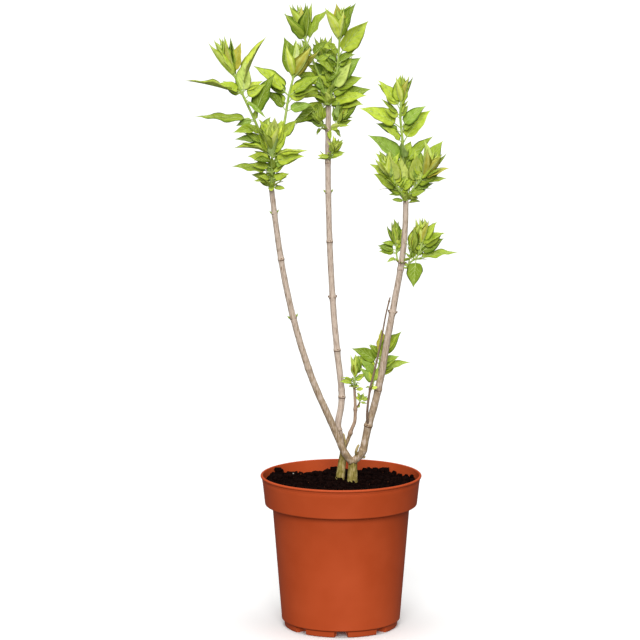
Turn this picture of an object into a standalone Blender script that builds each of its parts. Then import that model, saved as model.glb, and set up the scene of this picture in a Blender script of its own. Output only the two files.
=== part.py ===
"""A young lilac bush in its nursery pot.

Two short trunks stand side by side on the soil. The front one forks into the left and the right stem,
the back one into the middle and the small stem. Leafy shoots sit on the stems' tips and at some joints.
Every length in this file is written in millimetres and multiplied by MM, so the model is in metres.
The origin is the centre of the pot's underside, +X is right, -Y is the front and +Z is up.
"""

import math
import random

import bmesh
import bpy
from mathutils import Vector
from mathutils.bvhtree import BVHTree

MM = 0.001
UP = Vector((0.0, 0.0, 1.0))
RIGHT = Vector((1.0, 0.0, 0.0))

# Curves and round bodies
WELD = 0.00001
SHARP_ANGLE = 35.0
LIMB_CORNERS = 8
TWIG_CORNERS = 4

# Driving sizes of the pot, mm
RIM_RADIUS = 95.0
RIM_TOP = 181.3
BEAD = 3.0
BEAD_ROUNDING = 1.2
BEAD_STEP = 1.5
LIP_WIDTH = 2.4
LIP_UNDERCUT = 4.8
BAND_START = 10.2
BAND_BOTTOM = 146.0
BAND_TOP_RADIUS = 92.4
BAND_FOOT_RADIUS = 89.8
BAND_BEVEL = 1.2
BODY_TOP_RADIUS = 81.0
BODY_FOOT_RADIUS = 70.2
BODY_FOOT = 10.0
FOOT_TOP = 8.0
FOOT_LEDGE = 0.8
FOOT_BEVEL = 1.5
FOOT_RADIUS = 67.4
FOOT_TAPER = 0.4
FOOT_ROUNDING = 1.6
WALL = 1.5
SHOULDER = BAND_BOTTOM + 1.4
SHOULDER_TOP = BAND_BOTTOM + 3.4
POT_STEPS = 40
CHANNELS = 8
CHANNEL_HEIGHT = 8.0
CHANNEL_FOOT_WIDTH = 23.0
CHANNEL_TOP_WIDTH = 13.0
CHANNEL_INNER_END = 30.0
CHANNEL_NARROWING = 0.5
# How far a cutter runs past the pot, mm
OVERRUN = 5.0

# Driving sizes of the soil, mm
SOIL_LEVEL = 168.5
SOIL_SEAT = 170.7
SEAT_RADIUS = 34.0
SOIL_LUMP = 2.2
SOIL_EDGE = 0.6
SOIL_CORNER = 4.0
SOIL_SEED = 20
SOIL_STEPS = 28
SOIL_RINGS = (34.0, 46.0, 58.0, 69.0, 79.0)

# Clearance between pieces that rest on each other, mm
CLEAR = 0.3
# Room that a leaf's corners keep to the limbs and to other masses, mm
LEAF_ROOM = 0.3

# Limbs: knots of the course (x, y, z) in mm from the foot up, then the radius at the foot and at the tip.
# carried_by names the limbs whose surface it stands on.
LIMBS = {
    "trunk_front": {
        "knots": ((13.3, 6.6, 163), (13.8, 5, 185), (14, 3.5, 197)),
        "radii": (6.4, 5.2),
        "flare": 2.4,
    },
    "trunk_back": {
        "knots": ((-2.8, 20.6, 163), (1, 19, 187), (2.5, 18, 203), (3.5, 18, 213)),
        "radii": (5.8, 3.7),
        "flare": 2.2,
    },
    "stem_left": {
        "knots": ((12.4, 1.5, 195.5), (3.5, -2, 209), (-5, -4, 229), (-16, -8, 255), (-31, -13, 290),
                  (-47, -18, 338), (-60, -21, 388), (-70, -23, 440), (-77, -25, 490), (-81, -25, 524)),
        "radii": (4.3, 3.1),
        "carried_by": ("trunk_front",),
    },
    "stem_middle": {
        "knots": ((3.2, 18, 211.5), (-1.5, 18, 226), (-3.5, 18, 237), (0.5, 19, 262), (0.8, 20, 276),
                  (-4.5, 21, 325), (-10, 22, 388), (-14, 22, 470), (-15.5, 22, 550), (-15, 22, 616)),
        "radii": (3.9, 3.1),
        "carried_by": ("trunk_back",),
    },
    "stem_right": {
        "knots": ((15, 2.5, 196.5), (24.5, 0, 207), (29, -1, 225), (32, -2, 240), (38.5, -2, 262),
                  (47, -3, 300), (54, -4, 342), (63, -5, 392), (70, -6, 432), (74, -6, 470), (75, -6, 508)),
        "radii": (4.6, 3.2),
        "carried_by": ("trunk_front", "stem_left"),
    },
    "stem_small": {
        "knots": ((4.2, 16, 210), (8.5, 12, 221), (12, 9, 232), (16, 7, 243), (16.8, 6, 256),
                  (16.5, 5, 268), (15.5, 4, 286)),
        "radii": (2.4, 1.5),
        "carried_by": ("trunk_back", "stem_middle"),
    },
    "twig_thin": {
        "knots": ((31.5, -5.5, 243.5), (30.5, -9.5, 252), (31, -12, 264), (34, -14, 286), (40, -14, 312),
                  (46, -13, 340), (52, -11, 373), (57, -10.5, 394)),
        "radii": (1.5, 0.8),
        "carried_by": ("stem_right",),
    },
    "stub_back": {
        "knots": ((4.6, 14.6, 208.5), (5.4, 9.5, 215), (4.4, 8.6, 222), (3, 8.4, 229)),
        "radii": (1.4, 0.9),
        "carried_by": ("trunk_back", "stem_small"),
    },
    "stub_front": {
        "knots": ((18.4, 0.6, 204), (17.6, -4.4, 209), (18.6, -5.4, 213), (21, -6, 218)),
        "radii": (1.5, 0.9),
        "carried_by": ("trunk_front", "stem_right"),
    },
    "stub_side": {
        "knots": ((22, 0.5, 201.5), (27.6, -0.5, 201.5), (28.4, -0.5, 203.5)),
        "radii": (1.3, 1.0),
        "carried_by": ("stem_right", "trunk_front"),
    },
}
LIMB_SPANS = 2
# Share of a trunk's length that its root flare takes
FLARE_SHARE = 0.25
# Height of the trunks' flat cut, mm: they stand clear of the soil's seat
TRUNK_CUT = SOIL_SEAT + CLEAR

# Shoots: a mass of foliage is one or two of them.
# seat is where the shoot stands: the limb, then "tip" with the compass turn and the distance from the
# tip's centre, or "side" with the height and the compass turn of that side.
# course is the rest of the shoot's way up, in mm, and thick its radius at the foot, low down and at its tip.
# pairs are opposite leaves, each pair at a height in mm with the compass turn of its first leaf, and then
# for both leaves the rise above level, the blade's length in mm and the roll towards the front, in degrees.
# tuft is the bud of young leaves at the tip: pairs, blade in mm, spread in degrees, compass turn.
FORK_RING = 1.9
SHOOTS = {
    "foliage_left_outer": [{
        "seed": 1, "thick": (1.35, 1.9, 1.2), "seat": ("stem_left", "tip", 160, FORK_RING),
        "course": ((-84, -28, 560), (-97, -32, 598), (-111, -34, 632), (-121, -35, 662)),
        "pairs": (
            (592, 200, (-6, 0), (27, 0), (50, 0)),
            (598, 180, (4, 66), (56, 50), (32, 60)),
            (624, 170, (20, -40), (0, 28), (0, 5)),
            (634, 205, (20, 22), (27, 26), (55, 20)),
            (646, 180, (-2, 64), (52, 45), (4, 20)),
        ),
        "tuft": (5, 38, 32, 35),
    }],
    "foliage_left_inner": [{
        "seed": 2, "thick": (1.35, 1.9, 1.2), "seat": ("stem_left", "tip", 40, FORK_RING),
        "course": ((-75, -17, 560), (-66, -13, 598), (-61, -12, 628), (-54, -11, 656)),
        "pairs": (
            (604, 195, (40, 10), (30, 28), (40, 50)),
            (626, 178, (38, 12), (44, 29), (40, 45)),
        ),
        "tuft": (5, 40, 34, 30),
    }],
    "foliage_left_centre": [{
        "seed": 3, "thick": (1.35, 1.6, 1.0), "seat": ("stem_left", "tip", 280, FORK_RING),
        "course": ((-80, -35, 550), (-80, -42, 574)),
        "pairs": (
            (531, 180, (0, 16), (18, 17), (30, 30)),
            (535, 250, (25, 0), (17, 0), (20, 0)),
            (543, 268, (50, 0), (20, 0), (20, 0)),
            (547, 180, (2, 24), (38, 35), (30, 40)),
            (556, 215, (2, 10), (22, 24), (40, 20)),
            (561, 182, (22, 6), (34, 30), (10, 0)),
            (563, 192, (8, -6), (38, 30), (4, 8)),
            (569, 205, (52, 62), (30, 30), (30, 60)),
        ),
        "tuft": (4, 31, 34, 45),
    }],
    "foliage_middle_left": [{
        "seed": 4, "thick": (1.35, 1.5, 1.1), "seat": ("stem_middle", "tip", 180, FORK_RING),
        "course": ((-24, 19, 645), (-34, 18, 670), (-41, 18, 689), (-43, 18, 699)),
        "pairs": (
            (650, 180, (-30, 20), (32, 16), (30, 20)),
            (676, 180, (-30, -40), (14, 15), (20, 40)),
        ),
        "tuft": (5, 39, 36, 30),
    }],
    "foliage_middle_right": [{
        "seed": 5, "thick": (1.35, 1.6, 1.1), "seat": ("stem_middle", "tip", 300, FORK_RING),
        "course": ((-6, 18, 650), (-1, 16, 680), (2, 15, 701)),
        "pairs": (
            (652, 205, (28, 30), (26, 29), (60, 50)),
            (664, 180, (30, 26), (18, 20), (30, 30)),
            (681, 180, (5, 41), (20, 37), (50, 65)),
        ),
        "tuft": (4, 37, 32, 30),
    }],
    "foliage_middle_centre": [{
        "seed": 6, "thick": (1.35, 1.5, 0.9), "seat": ("stem_middle", "tip", 60, FORK_RING),
        "course": ((-16, 35, 645), (-19, 40, 672)),
        "pairs": (
            (622, 172, (-38, 10), (42, 37), (25, 45)),
            (627, 200, (20, -8), (24, 30), (30, 60)),
            (634, 170, (45, 38), (26, 36), (30, 40)),
            (640, 90, (35, 0), (26, 0), (20, 0)),
            (646, 200, (30, 35), (26, 24), (50, 50)),
            (656, 80, (45, 45), (24, 24), (20, 20)),
        ),
        "tuft": (3, 25, 30, 20),
    }],
    "foliage_middle_side_left": [{
        "seed": 7, "thick": (1.1, 1.1, 0.7), "seat": ("stem_middle", "side", 588, 180),
        "course": ((-22.5, 20, 591.5), (-25, 17, 597)),
        "pairs": (
            (589.5, 195, (-55, 0), (10, 0), (30, 30)),
            (592, 180, (10, 88), (20, 22), (30, 30)),
            (595, 230, (40, 60), (20, 18), (40, 30)),
        ),
        "tuft": (3, 19, 26, 60),
    }],
    "foliage_middle_side_right": [{
        "seed": 8, "thick": (1.1, 1.1, 0.7), "seat": ("stem_middle", "side", 588, 0),
        "course": ((-7, 21, 591.5), (-3, 20, 597)),
        "pairs": (
            (589.5, 10, (-60, 0), (12, 0), (30, 30)),
            (592, 350, (-4, 80), (14, 20), (30, 30)),
            (594, 0, (20, 100), (18, 22), (30, 30)),
        ),
        "tuft": (3, 18, 26, 60),
    }],
    "foliage_middle_low": [{
        "seed": 9, "thick": (1.1, 1.1, 0.7), "seat": ("stem_middle", "side", 553, 290),
        "course": ((-12, 13, 557), (-9, 10, 564)),
        "pairs": (
            (555, 180, (10, 10), (9, 9), (30, 30)),
            (558, 240, (10, 20), (10, 10), (30, 30)),
            (562, 0, (35, 60), (12, 12), (30, 30)),
        ),
        "tuft": (3, 14, 30, 30),
    }],
    "foliage_right_centre": [{
        "seed": 10, "thick": (1.35, 1.9, 1.2), "seat": ("stem_right", "tip", 80, FORK_RING),
        "course": ((73, -4, 545), (70.5, -7, 580), (68, -9, 608), (70, -10, 625)),
        "pairs": (
            (548, 180, (40, 44), (41, 37), (45, 35)),
            (573, 200, (34, 44), (28, 44), (60, 50)),
            (591, 180, (22, 39), (46, 33), (35, 60)),
            (605, 180, (40, 60), (26, 18), (30, 30)),
            (612, 180, (50, 68), (37, 28), (50, 30)),
        ),
        "tuft": (4, 31, 24, 30),
    }],
    "foliage_right_left": [{
        "seed": 11, "thick": (1.35, 1.5, 0.9), "seat": ("stem_right", "tip", 200, FORK_RING),
        "course": ((66, -11, 520), (58, -15, 531), (55, -16, 540)),
        "pairs": (
            (513, 180, (0, 0), (15, 0), (30, 0)),
            (520, 180, (-4, 60), (20, 16), (0, 30)),
            (522, 240, (30, 30), (20, 16), (40, 30)),
            (529, 168, (34, 80), (30, 26), (20, 30)),
            (531, 230, (45, 0), (28, 0), (50, 0)),
            (535, 180, (55, 68), (28, 26), (40, 30)),
        ),
        "tuft": (4, 27, 34, 45),
    }],
    "foliage_right_right": [{
        "seed": 12, "thick": (1.35, 1.5, 0.9), "seat": ("stem_right", "tip", 320, FORK_RING),
        "course": ((84, -10, 521), (92, -13, 531), (99, -15, 543)),
        "pairs": (
            (513, 0, (-15, 0), (10, 0), (20, 30)),
            (516, 5, (5, 60), (16, 14), (20, 30)),
            (519, 0, (4, 80), (20, 22), (0, 40)),
            (527, 200, (60, 20), (20, 16), (60, 30)),
            (531, 0, (2, 74), (26, 28), (25, 60)),
            (536, 340, (22, 80), (22, 22), (20, 30)),
            (538, 0, (42, 80), (24, 22), (30, 30)),
        ),
        "tuft": (4, 33, 30, 30),
    }],
    "foliage_right_mid_left": [{
        "seed": 13, "thick": (1.1, 1.1, 0.8), "seat": ("stem_right", "side", 433, 120),
        "course": ((65, 3, 440), (64, 4.5, 456)),
        "pairs": (
            (438, 200, (-20, 0), (12, 0), (30, 0)),
            (443, 180, (6, 50), (18, 12), (40, 30)),
            (452, 180, (10, 50), (15, 12), (40, 30)),
        ),
        "tuft": (4, 26, 30, 160),
    }],
    "foliage_right_mid_right": [
        {
            "seed": 14, "thick": (1.1, 1.2, 0.8), "seat": ("stem_right", "side", 429, 350),
            "course": ((80, -8, 434), (88, -10, 441), (93, -10, 452), (94, -10, 460)),
            "pairs": (
                (434, 305, (-62, 0), (27, 0), (85, 0)),
                (437, 0, (0, 40), (14, 12), (10, 30)),
                (441, 0, (4, 60), (38, 14), (20, 30)),
                (453, 0, (28, 75), (27, 22), (45, 30)),
            ),
            "tuft": (4, 29, 30, 30),
        },
        {
            "seed": 15, "thick": (0.9, 0.9, 0.7), "branch_at": 431.5,
            "course": ((80, -11, 443), (82, -13, 452)),
            "pairs": (
                (446, 200, (60, 50), (14, 12), (30, 30)),
            ),
            "tuft": (2, 20, 24, 45),
        },
    ],
    "foliage_lower": [{
        "seed": 16, "thick": (1.0, 1.3, 0.8), "seat": ("twig_thin", "side", 286, 55),
        "course": ((37, -6, 290), (41, 6, 299), (45, 12, 312), (46, 14, 322)),
        "pairs": (
            (288.5, 190, (55, 0), (22, 0), (60, 0)),
            (299.5, 190, (36, 18), (19, 38), (60, 25)),
            (311, 180, (30, 20), (31, 22), (50, 40)),
            (320, 180, (48, 48), (16, 31), (30, 60)),
        ),
        "tuft": (2, 27, 14, 60),
    }],
    "foliage_small": [{
        "seed": 17, "thick": (1.0, 1.0, 0.7), "seat": ("stem_small", "tip", 0, 0),
        "course": ((16.2, 4, 293), (16.3, 4, 299)),
        "pairs": (
            (289, 185, (0, 0), (7, 7), (20, 20)),
            (290, 260, (0, 0), (7, 7), (20, 20)),
            (291, 180, (14, 36), (15, 15), (10, 40)),
        ),
        "tuft": (3, 25, 18, 30),
    }],
    "foliage_small_buds": [{
        "seed": 18, "thick": (0.9, 0.9, 0.7), "seat": ("stem_small", "side", 261, 0),
        "course": ((21.5, 6, 265), (24, 7, 271)),
        "pairs": (
            (266, 10, (-10, 85), (8, 8), (30, 30)),
            (269, 110, (20, 50), (8, 9), (30, 30)),
        ),
        "tuft": (2, 9, 45, 0),
    }],
}
COURSE_SPANS = 2
# Straight run out of the seat, mm, and the share of a shoot over which it swells to its low radius
SEAT_RUN = 3.0
SWELLING_SHARE = 0.2

# Shape of a leaf: stalk and widths as shares of the blade's length
STALK = 0.2
TUFT_STALK = 0.06
BLADE_WIDTH = 0.4
TUFT_WIDTH = 0.42
STALK_HALF_WIDTH = 0.35
STALK_WIDENING = 0.005
STALK_DEPTH_SHARE = 1.6
BLADE_DEPTH = 0.016
BLADE_DEPTH_BASE = 0.25
# Stations along the blade and their share of the full width, for a long leaf and for a short one
STATIONS = ((0.0, 0.0), (0.3, 1.0), (0.66, 0.66))
SHORT_STATIONS = ((0.0, 0.0), (0.38, 1.0))
SHORT_BLADE = 29.0
# Seeded sway of turn and roll, and the range of the bend along a leaf, in degrees. A leaf rises a little
# more at its root than its row says, by this share of its bend, and bends down from a third of its reach.
TURN_SWAY = 8.0
ROLL_SWAY = 8.0
ARCH = (6.0, 20.0)
ARCH_LIFT = 0.4
ARCH_START = 0.35
ARCH_GAIN = 1.6
# A bud's leaves: the depth of its lowest pair under the tip as a share of the blade, how far the inner
# pairs close up and shorten, the range of their lengths and bends, and the sway of turn, lean and roll.
TUFT_DEPTH = 0.16
TUFT_CLOSING = 0.8
TUFT_SHORTENING = 0.22
TUFT_LENGTHS = (0.9, 1.06)
TUFT_BEND = (0.5, 1.1)
TUFT_TURN_SWAY = 14.0
TUFT_LEAN_SWAY = 4.0
TUFT_ROLL_SWAY = 15.0


def clear_scene():
    """Removes every object, so that the model starts from nothing."""
    for thing in list(bpy.data.objects):
        bpy.data.objects.remove(thing, do_unlink=True)


def new_collection(name):
    collection = bpy.data.collections.new(name)
    bpy.context.scene.collection.children.link(collection)
    return collection


def make_material(name, colour, roughness):
    """A plain Principled material in one linear colour."""
    material = bpy.data.materials.new(name)
    material.use_nodes = True
    shader = material.node_tree.nodes["Principled BSDF"]
    shader.inputs["Base Color"].default_value = (*colour, 1.0)
    shader.inputs["Roughness"].default_value = roughness
    shader.inputs["Metallic"].default_value = 0.0
    material.diffuse_color = (*colour, 1.0)
    return material


def new_object(name, mesh, collection, material=None):
    thing = bpy.data.objects.new(name, mesh)
    collection.objects.link(thing)
    if material:
        mesh.materials.clear()
        mesh.materials.append(material)
    return thing


def move_to(thing, collection):
    for other in list(thing.users_collection):
        other.objects.unlink(thing)
    collection.objects.link(thing)


def settle(thing):
    """Applies the object's modifiers to its mesh."""
    bpy.context.view_layer.update()
    graph = bpy.context.evaluated_depsgraph_get()
    mesh = bpy.data.meshes.new_from_object(thing.evaluated_get(graph))
    thing.modifiers.clear()
    thing.data = mesh
    return thing


def keep_whole(thing):
    """Keeps the largest closed shell: loose scraps go, and sealed hollows are filled."""
    mesh = bmesh.new()
    mesh.from_mesh(thing.data)
    mesh.faces.ensure_lookup_table()
    seen = set()
    shells = []
    for start in mesh.faces:
        if start.index in seen:
            continue
        shell, front = [], [start]
        seen.add(start.index)
        while front:
            face = front.pop()
            shell.append(face)
            for edge in face.edges:
                for other in edge.link_faces:
                    if other.index not in seen:
                        seen.add(other.index)
                        front.append(other)
        shells.append(shell)
    largest = max(shells, key=len)
    for shell in shells:
        if shell is not largest:
            bmesh.ops.delete(mesh, geom=shell, context="FACES")
    loose = [v for v in mesh.verts if not v.link_faces]
    bmesh.ops.delete(mesh, geom=loose, context="VERTS")
    mesh.to_mesh(thing.data)
    mesh.free()


def make_cutter(thing):
    thing.hide_render = True
    thing.display_type = "WIRE"
    return thing


def cut(thing, cutter):
    """Cuts the cutter's form out of the object, and removes the cutter."""
    modifier = thing.modifiers.new(cutter.name, "BOOLEAN")
    modifier.operation = "DIFFERENCE"
    modifier.object = cutter
    settle(thing)
    bpy.data.objects.remove(cutter, do_unlink=True)


def turned(name, profile, steps, collection, material=None):
    """A profile of (radius, height) in mm, from the top of the outside down, turned about the Z axis."""
    mesh = bpy.data.meshes.new(name)
    points = [(r * MM, 0.0, z * MM) for r, z in profile]
    mesh.from_pydata(points, [(i, i + 1) for i in range(len(points) - 1)], [])
    thing = new_object(name, mesh, collection, material)
    screw = thing.modifiers.new("Turning", "SCREW")
    screw.axis = "Z"
    screw.angle = math.tau
    screw.steps = steps
    screw.render_steps = steps
    screw.use_merge_vertices = True
    screw.merge_threshold = WELD
    screw.use_normal_calculate = True
    return settle(thing)


def smooth(thing):
    thing.data.shade_smooth()
    thing.data.set_sharp_from_angle(angle=math.radians(SHARP_ANGLE))


def course_points(knots, spans):
    """Points in metres on a smooth curve through the knots, with some spans between each two.

    The curve's pace follows the root of the knots' distances, so that it never swings past a close pair.
    """
    ends = [Vector(k) * MM for k in knots]
    ends = [2 * ends[0] - ends[1], *ends, 2 * ends[-1] - ends[-2]]
    points = []
    for a, b, c, d in zip(ends, ends[1:], ends[2:], ends[3:]):
        before = (b - a).length ** 0.5
        between = (c - b).length ** 0.5
        after = (d - c).length ** 0.5
        for step in range(spans):
            t = between * step / spans
            ab = a.lerp(b, 1 + t / before)
            bc = b.lerp(c, t / between)
            cd = c.lerp(d, (t - between) / after)
            abc = ab.lerp(bc, (before + t) / (before + between))
            bcd = bc.lerp(cd, t / (between + after))
            points.append(abc.lerp(bcd, t / between))
    points.append(ends[-2])
    return points


def at_height(points, height):
    """The point on a course at a height in metres, and the course's direction there."""
    for a, b in zip(points, points[1:]):
        if height <= b.z:
            break
    share = (height - a.z) / (b.z - a.z)
    return a.lerp(b, min(max(share, 0.0), 1.0)), (b - a).normalized()


def tube(name, points, radii, corners, collection, material=None):
    """A closed tube along the points, with a radius at each, made a mesh and its caps welded on."""
    curve = bpy.data.curves.new(name, "CURVE")
    curve.dimensions = "3D"
    curve.bevel_depth = 1.0
    curve.bevel_resolution = (corners - 4) // 2
    curve.use_fill_caps = True
    spline = curve.splines.new("POLY")
    spline.points.add(len(points) - 1)
    for knot, point, radius in zip(spline.points, points, radii):
        knot.co = (*point, 1.0)
        knot.radius = radius
    rail = bpy.data.objects.new(name, curve)
    collection.objects.link(rail)
    bpy.context.view_layer.update()
    graph = bpy.context.evaluated_depsgraph_get()
    mesh = bpy.data.meshes.new_from_object(rail.evaluated_get(graph))
    bpy.data.objects.remove(rail, do_unlink=True)
    bpy.data.curves.remove(curve)
    welded = bmesh.new()
    welded.from_mesh(mesh)
    bmesh.ops.remove_doubles(welded, verts=welded.verts, dist=WELD)
    bmesh.ops.recalc_face_normals(welded, faces=welded.faces)
    welded.to_mesh(mesh)
    welded.free()
    mesh.name = name
    return new_object(name, mesh, collection, material)


def limb_radii(row, count):
    """Radii in metres that taper from foot to tip, with the root's flare in the lowest part."""
    foot, tip = row["radii"]
    flare = row.get("flare", 0.0)
    radii = []
    for i in range(count):
        share = i / (count - 1)
        radius = foot + (tip - foot) * share + flare * max(0.0, 1.0 - share / FLARE_SHARE) ** 2
        radii.append(radius * MM)
    return radii


def limb_course(name):
    return course_points(LIMBS[name]["knots"], LIMB_SPANS)


def grown_limb(name, collection):
    """The limb's form grown all round by the clearance, to cut what stands on it."""
    points = limb_course(name)
    radii = [r + CLEAR * MM for r in limb_radii(LIMBS[name], len(points))]
    first = (points[0] - points[1]).normalized()
    last = (points[-1] - points[-2]).normalized()
    points[0] = points[0] + first * CLEAR * MM
    points[-1] = points[-1] + last * CLEAR * MM
    return make_cutter(tube(name + "_grown", points, radii, LIMB_CORNERS, collection))


def ground_block(collection):
    """A block up to ground level, which leaves a trunk its flat cut."""
    side = 4 * SEAT_RADIUS * MM
    bpy.ops.mesh.primitive_cube_add(size=side, location=(0.0, 0.0, TRUNK_CUT * MM - side / 2))
    block = bpy.context.object
    block.name = "ground_block"
    move_to(block, collection)
    return make_cutter(block)


def make_limb(name, collection, cutters, material):
    points = limb_course(name)
    radii = limb_radii(LIMBS[name], len(points))
    limb = tube(name, points, radii, LIMB_CORNERS, collection, material)
    for carrier in LIMBS[name].get("carried_by", ()):
        cut(limb, grown_limb(carrier, cutters))
    if "flare" in LIMBS[name]:
        cut(limb, ground_block(cutters))
    keep_whole(limb)
    smooth(limb)
    return limb


def shoot_foot(shoot):
    """The first two points of a shoot, in mm: 0.3 mm clear of its limb, and a little further out."""
    limb, kind, *place = shoot["seat"]
    points = limb_course(limb)
    radii = limb_radii(LIMBS[limb], len(points))
    if kind == "tip":
        turn, ring = math.radians(place[0]), place[1]
        out = (points[-1] - points[-2]).normalized()
        aside = Vector((math.cos(turn), math.sin(turn), 0.0))
        aside = (aside - out * out.dot(aside)).normalized()
        foot = points[-1] / MM + aside * ring + out * CLEAR
    else:
        height, turn = place[0] * MM, math.radians(place[1])
        centre, along = at_height(points, height)
        out = Vector((math.cos(turn), math.sin(turn), 0.0))
        out = (out - along * along.dot(out)).normalized()
        nearest = min(range(len(points)), key=lambda i: abs(points[i].z - height))
        foot = centre / MM + out * (radii[nearest] / MM + CLEAR)
    return foot, foot + out * SEAT_RUN


def shoot_course(shoot, main):
    """Points of a shoot, in metres. A side shoot starts inside the main one."""
    if "seat" in shoot:
        start = list(shoot_foot(shoot))
    else:
        start = [at_height(main, shoot["branch_at"] * MM)[0] / MM]
    return course_points([*start, *shoot["course"]], COURSE_SPANS)


def shoot_radii(shoot, count):
    foot, low, tip = shoot["thick"]
    radii = []
    for i in range(count):
        share = i / (count - 1)
        swelling = min(1.0, share / SWELLING_SHARE)
        radii.append((foot + (low - foot) * swelling + (tip - low) * share) * MM)
    return radii


def blade_places(point, along, face, blade, width, roll, arch, stalk):
    """The leaf's cross-sections: its centre, the way across, the way under, half its width, its depth."""
    across = along.cross(face)
    stalk_half = STALK_HALF_WIDTH * MM + STALK_WIDENING * blade
    stalk_depth = stalk_half * STALK_DEPTH_SHARE
    sections = [(point.copy(), across, -face, stalk_half, stalk_depth)]
    reach = stalk + 1.0
    last = 0.0
    place = point.copy()
    stations = SHORT_STATIONS if blade < SHORT_BLADE * MM or stalk < STALK else STATIONS
    for station, share in (*stations, (1.0, None)):
        mark = stalk + station
        middle = (mark + last) / 2 / reach
        bend = math.radians(arch) * (middle - ARCH_START) * ARCH_GAIN
        way = along * math.cos(bend) - face * math.sin(bend)
        turned_face = face * math.cos(bend) + along * math.sin(bend)
        place = place + way * (mark - last) * blade
        side = across * math.cos(roll) + turned_face * math.sin(roll)
        under = across * math.sin(roll) - turned_face * math.cos(roll)
        if share is None:
            sections.append((place.copy(), side, under, 0.0, 0.0))
        elif station == 0.0:
            sections.append((place.copy(), side, under, stalk_half, stalk_depth))
        else:
            depth = BLADE_DEPTH_BASE * MM + BLADE_DEPTH * blade
            sections.append((place.copy(), side, under, share * width / 2, depth))
        last = mark
    return sections


def leaf_mesh(name, sections):
    """A thin closed leaf: its upper side is flat across and its keel stands under the midrib."""
    leaf = bmesh.new()
    rings = []
    for centre, side, under, half, depth in sections[:-1]:
        rings.append([leaf.verts.new(centre + way) for way in (side * half, under * depth, side * -half)])
    tip = leaf.verts.new(sections[-1][0])
    leaf.faces.new(rings[0])
    for low, high in zip(rings, rings[1:]):
        for i in range(3):
            j = (i + 1) % 3
            leaf.faces.new((low[i], low[j], high[j], high[i]))
    for i in range(3):
        leaf.faces.new((rings[-1][i], rings[-1][(i + 1) % 3], tip))
    bmesh.ops.triangulate(leaf, faces=[f for f in leaf.faces if len(f.verts) > 3])
    bmesh.ops.recalc_face_normals(leaf, faces=leaf.faces)
    mesh = bpy.data.meshes.new(name)
    leaf.to_mesh(mesh)
    leaf.free()
    return mesh


def pair_leaves(points, row, chance):
    """The two opposite leaves of a row of pairs."""
    height, turn, rises, blades, rolls = row
    point, _ = at_height(points, height * MM)
    for i in range(2):
        arch = chance.uniform(*ARCH)
        roll = math.radians(rolls[i] + chance.uniform(-ROLL_SWAY, ROLL_SWAY))
        heading = math.radians(turn + 180 * i + chance.uniform(-TURN_SWAY, TURN_SWAY))
        if not blades[i]:
            continue
        rise = math.radians(rises[i] + arch * ARCH_LIFT)
        out = Vector((math.cos(heading), math.sin(heading), 0.0))
        along = out * math.cos(rise) + UP * math.sin(rise)
        face = UP * math.cos(rise) - out * math.sin(rise)
        toward_front = 1 if along.cross(face).y > 0 else -1
        blade = blades[i] * MM
        yield blade_places(point, along, face, blade, blade * BLADE_WIDTH, roll * toward_front, arch, STALK)


def tuft_leaves(points, tuft, chance):
    """Pairs of young leaves that turn by a right angle from one to the next, and close over the tip."""
    pairs, blade, spread, turn = tuft
    tip = points[-1]
    axis = (points[-1] - points[-3]).normalized()
    first = (RIGHT - axis * axis.x).normalized()
    second = axis.cross(first)
    for pair in range(pairs):
        share = pair / (pairs - 1)
        point = tip - axis * TUFT_DEPTH * blade * MM * (1 - share)
        for i in range(2):
            sway = chance.uniform(-TUFT_TURN_SWAY, TUFT_TURN_SWAY)
            heading = math.radians(turn + 90 * pair + 180 * i + sway)
            sway = chance.uniform(-TUFT_LEAN_SWAY, TUFT_LEAN_SWAY)
            lean = math.radians(spread * (1 - TUFT_CLOSING * share) + sway)
            length = blade * MM * (1 - TUFT_SHORTENING * share) * chance.uniform(*TUFT_LENGTHS)
            roll = math.radians(chance.uniform(-TUFT_ROLL_SWAY, TUFT_ROLL_SWAY))
            arch = -chance.uniform(*TUFT_BEND) * spread
            out = first * math.cos(heading) + second * math.sin(heading)
            along = axis * math.cos(lean) + out * math.sin(lean)
            face = axis * math.sin(lean) - out * math.cos(lean)
            yield blade_places(point, along, face, length, length * TUFT_WIDTH, roll, arch, TUFT_STALK)


def tree_of(mesh):
    corners = [v.co for v in mesh.vertices]
    faces = [tuple(p.vertices) for p in mesh.polygons]
    return BVHTree.FromPolygons(corners, faces)


def keeps_clear(leaf, others):
    """True where the leaf crosses none of the others and no corner of it comes too near to one."""
    tree = tree_of(leaf)
    for other in others:
        if tree.overlap(other):
            return False
        if any(other.find_nearest(v.co, LEAF_ROOM * MM)[0] for v in leaf.vertices):
            return False
    return True


def make_mass(name, stems, others, collection, pieces, material):
    """One mass of foliage: its stems with every leaf that keeps clear of the others, joined by a union."""
    leaves = []
    main = None
    for shoot in SHOOTS[name]:
        points = shoot_course(shoot, main)
        main = main or points
        chance = random.Random(shoot["seed"])
        sections = [s for row in shoot["pairs"] for s in pair_leaves(points, row, chance)]
        sections += tuft_leaves(points, shoot["tuft"], chance)
        leaves += [leaf_mesh("leaf", s) for s in sections]
    kept = [leaf for leaf in leaves if keeps_clear(leaf, others)]
    trees = [tree_of(leaf) for leaf in kept]
    for leaf in kept:
        new_object("leaf", leaf, pieces)
    mass = stems[0]
    for twig in stems[1:]:
        pieces.objects.link(twig)
        collection.objects.unlink(twig)
    union = mass.modifiers.new("Leaves grown on", "BOOLEAN")
    union.operation = "UNION"
    union.operand_type = "COLLECTION"
    union.collection = pieces
    union.solver = "MANIFOLD"
    settle(mass)
    for piece in list(pieces.objects):
        bpy.data.objects.remove(piece, do_unlink=True)
    keep_whole(mass)
    mass.data.materials.clear()
    mass.data.materials.append(material)
    return trees


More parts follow.
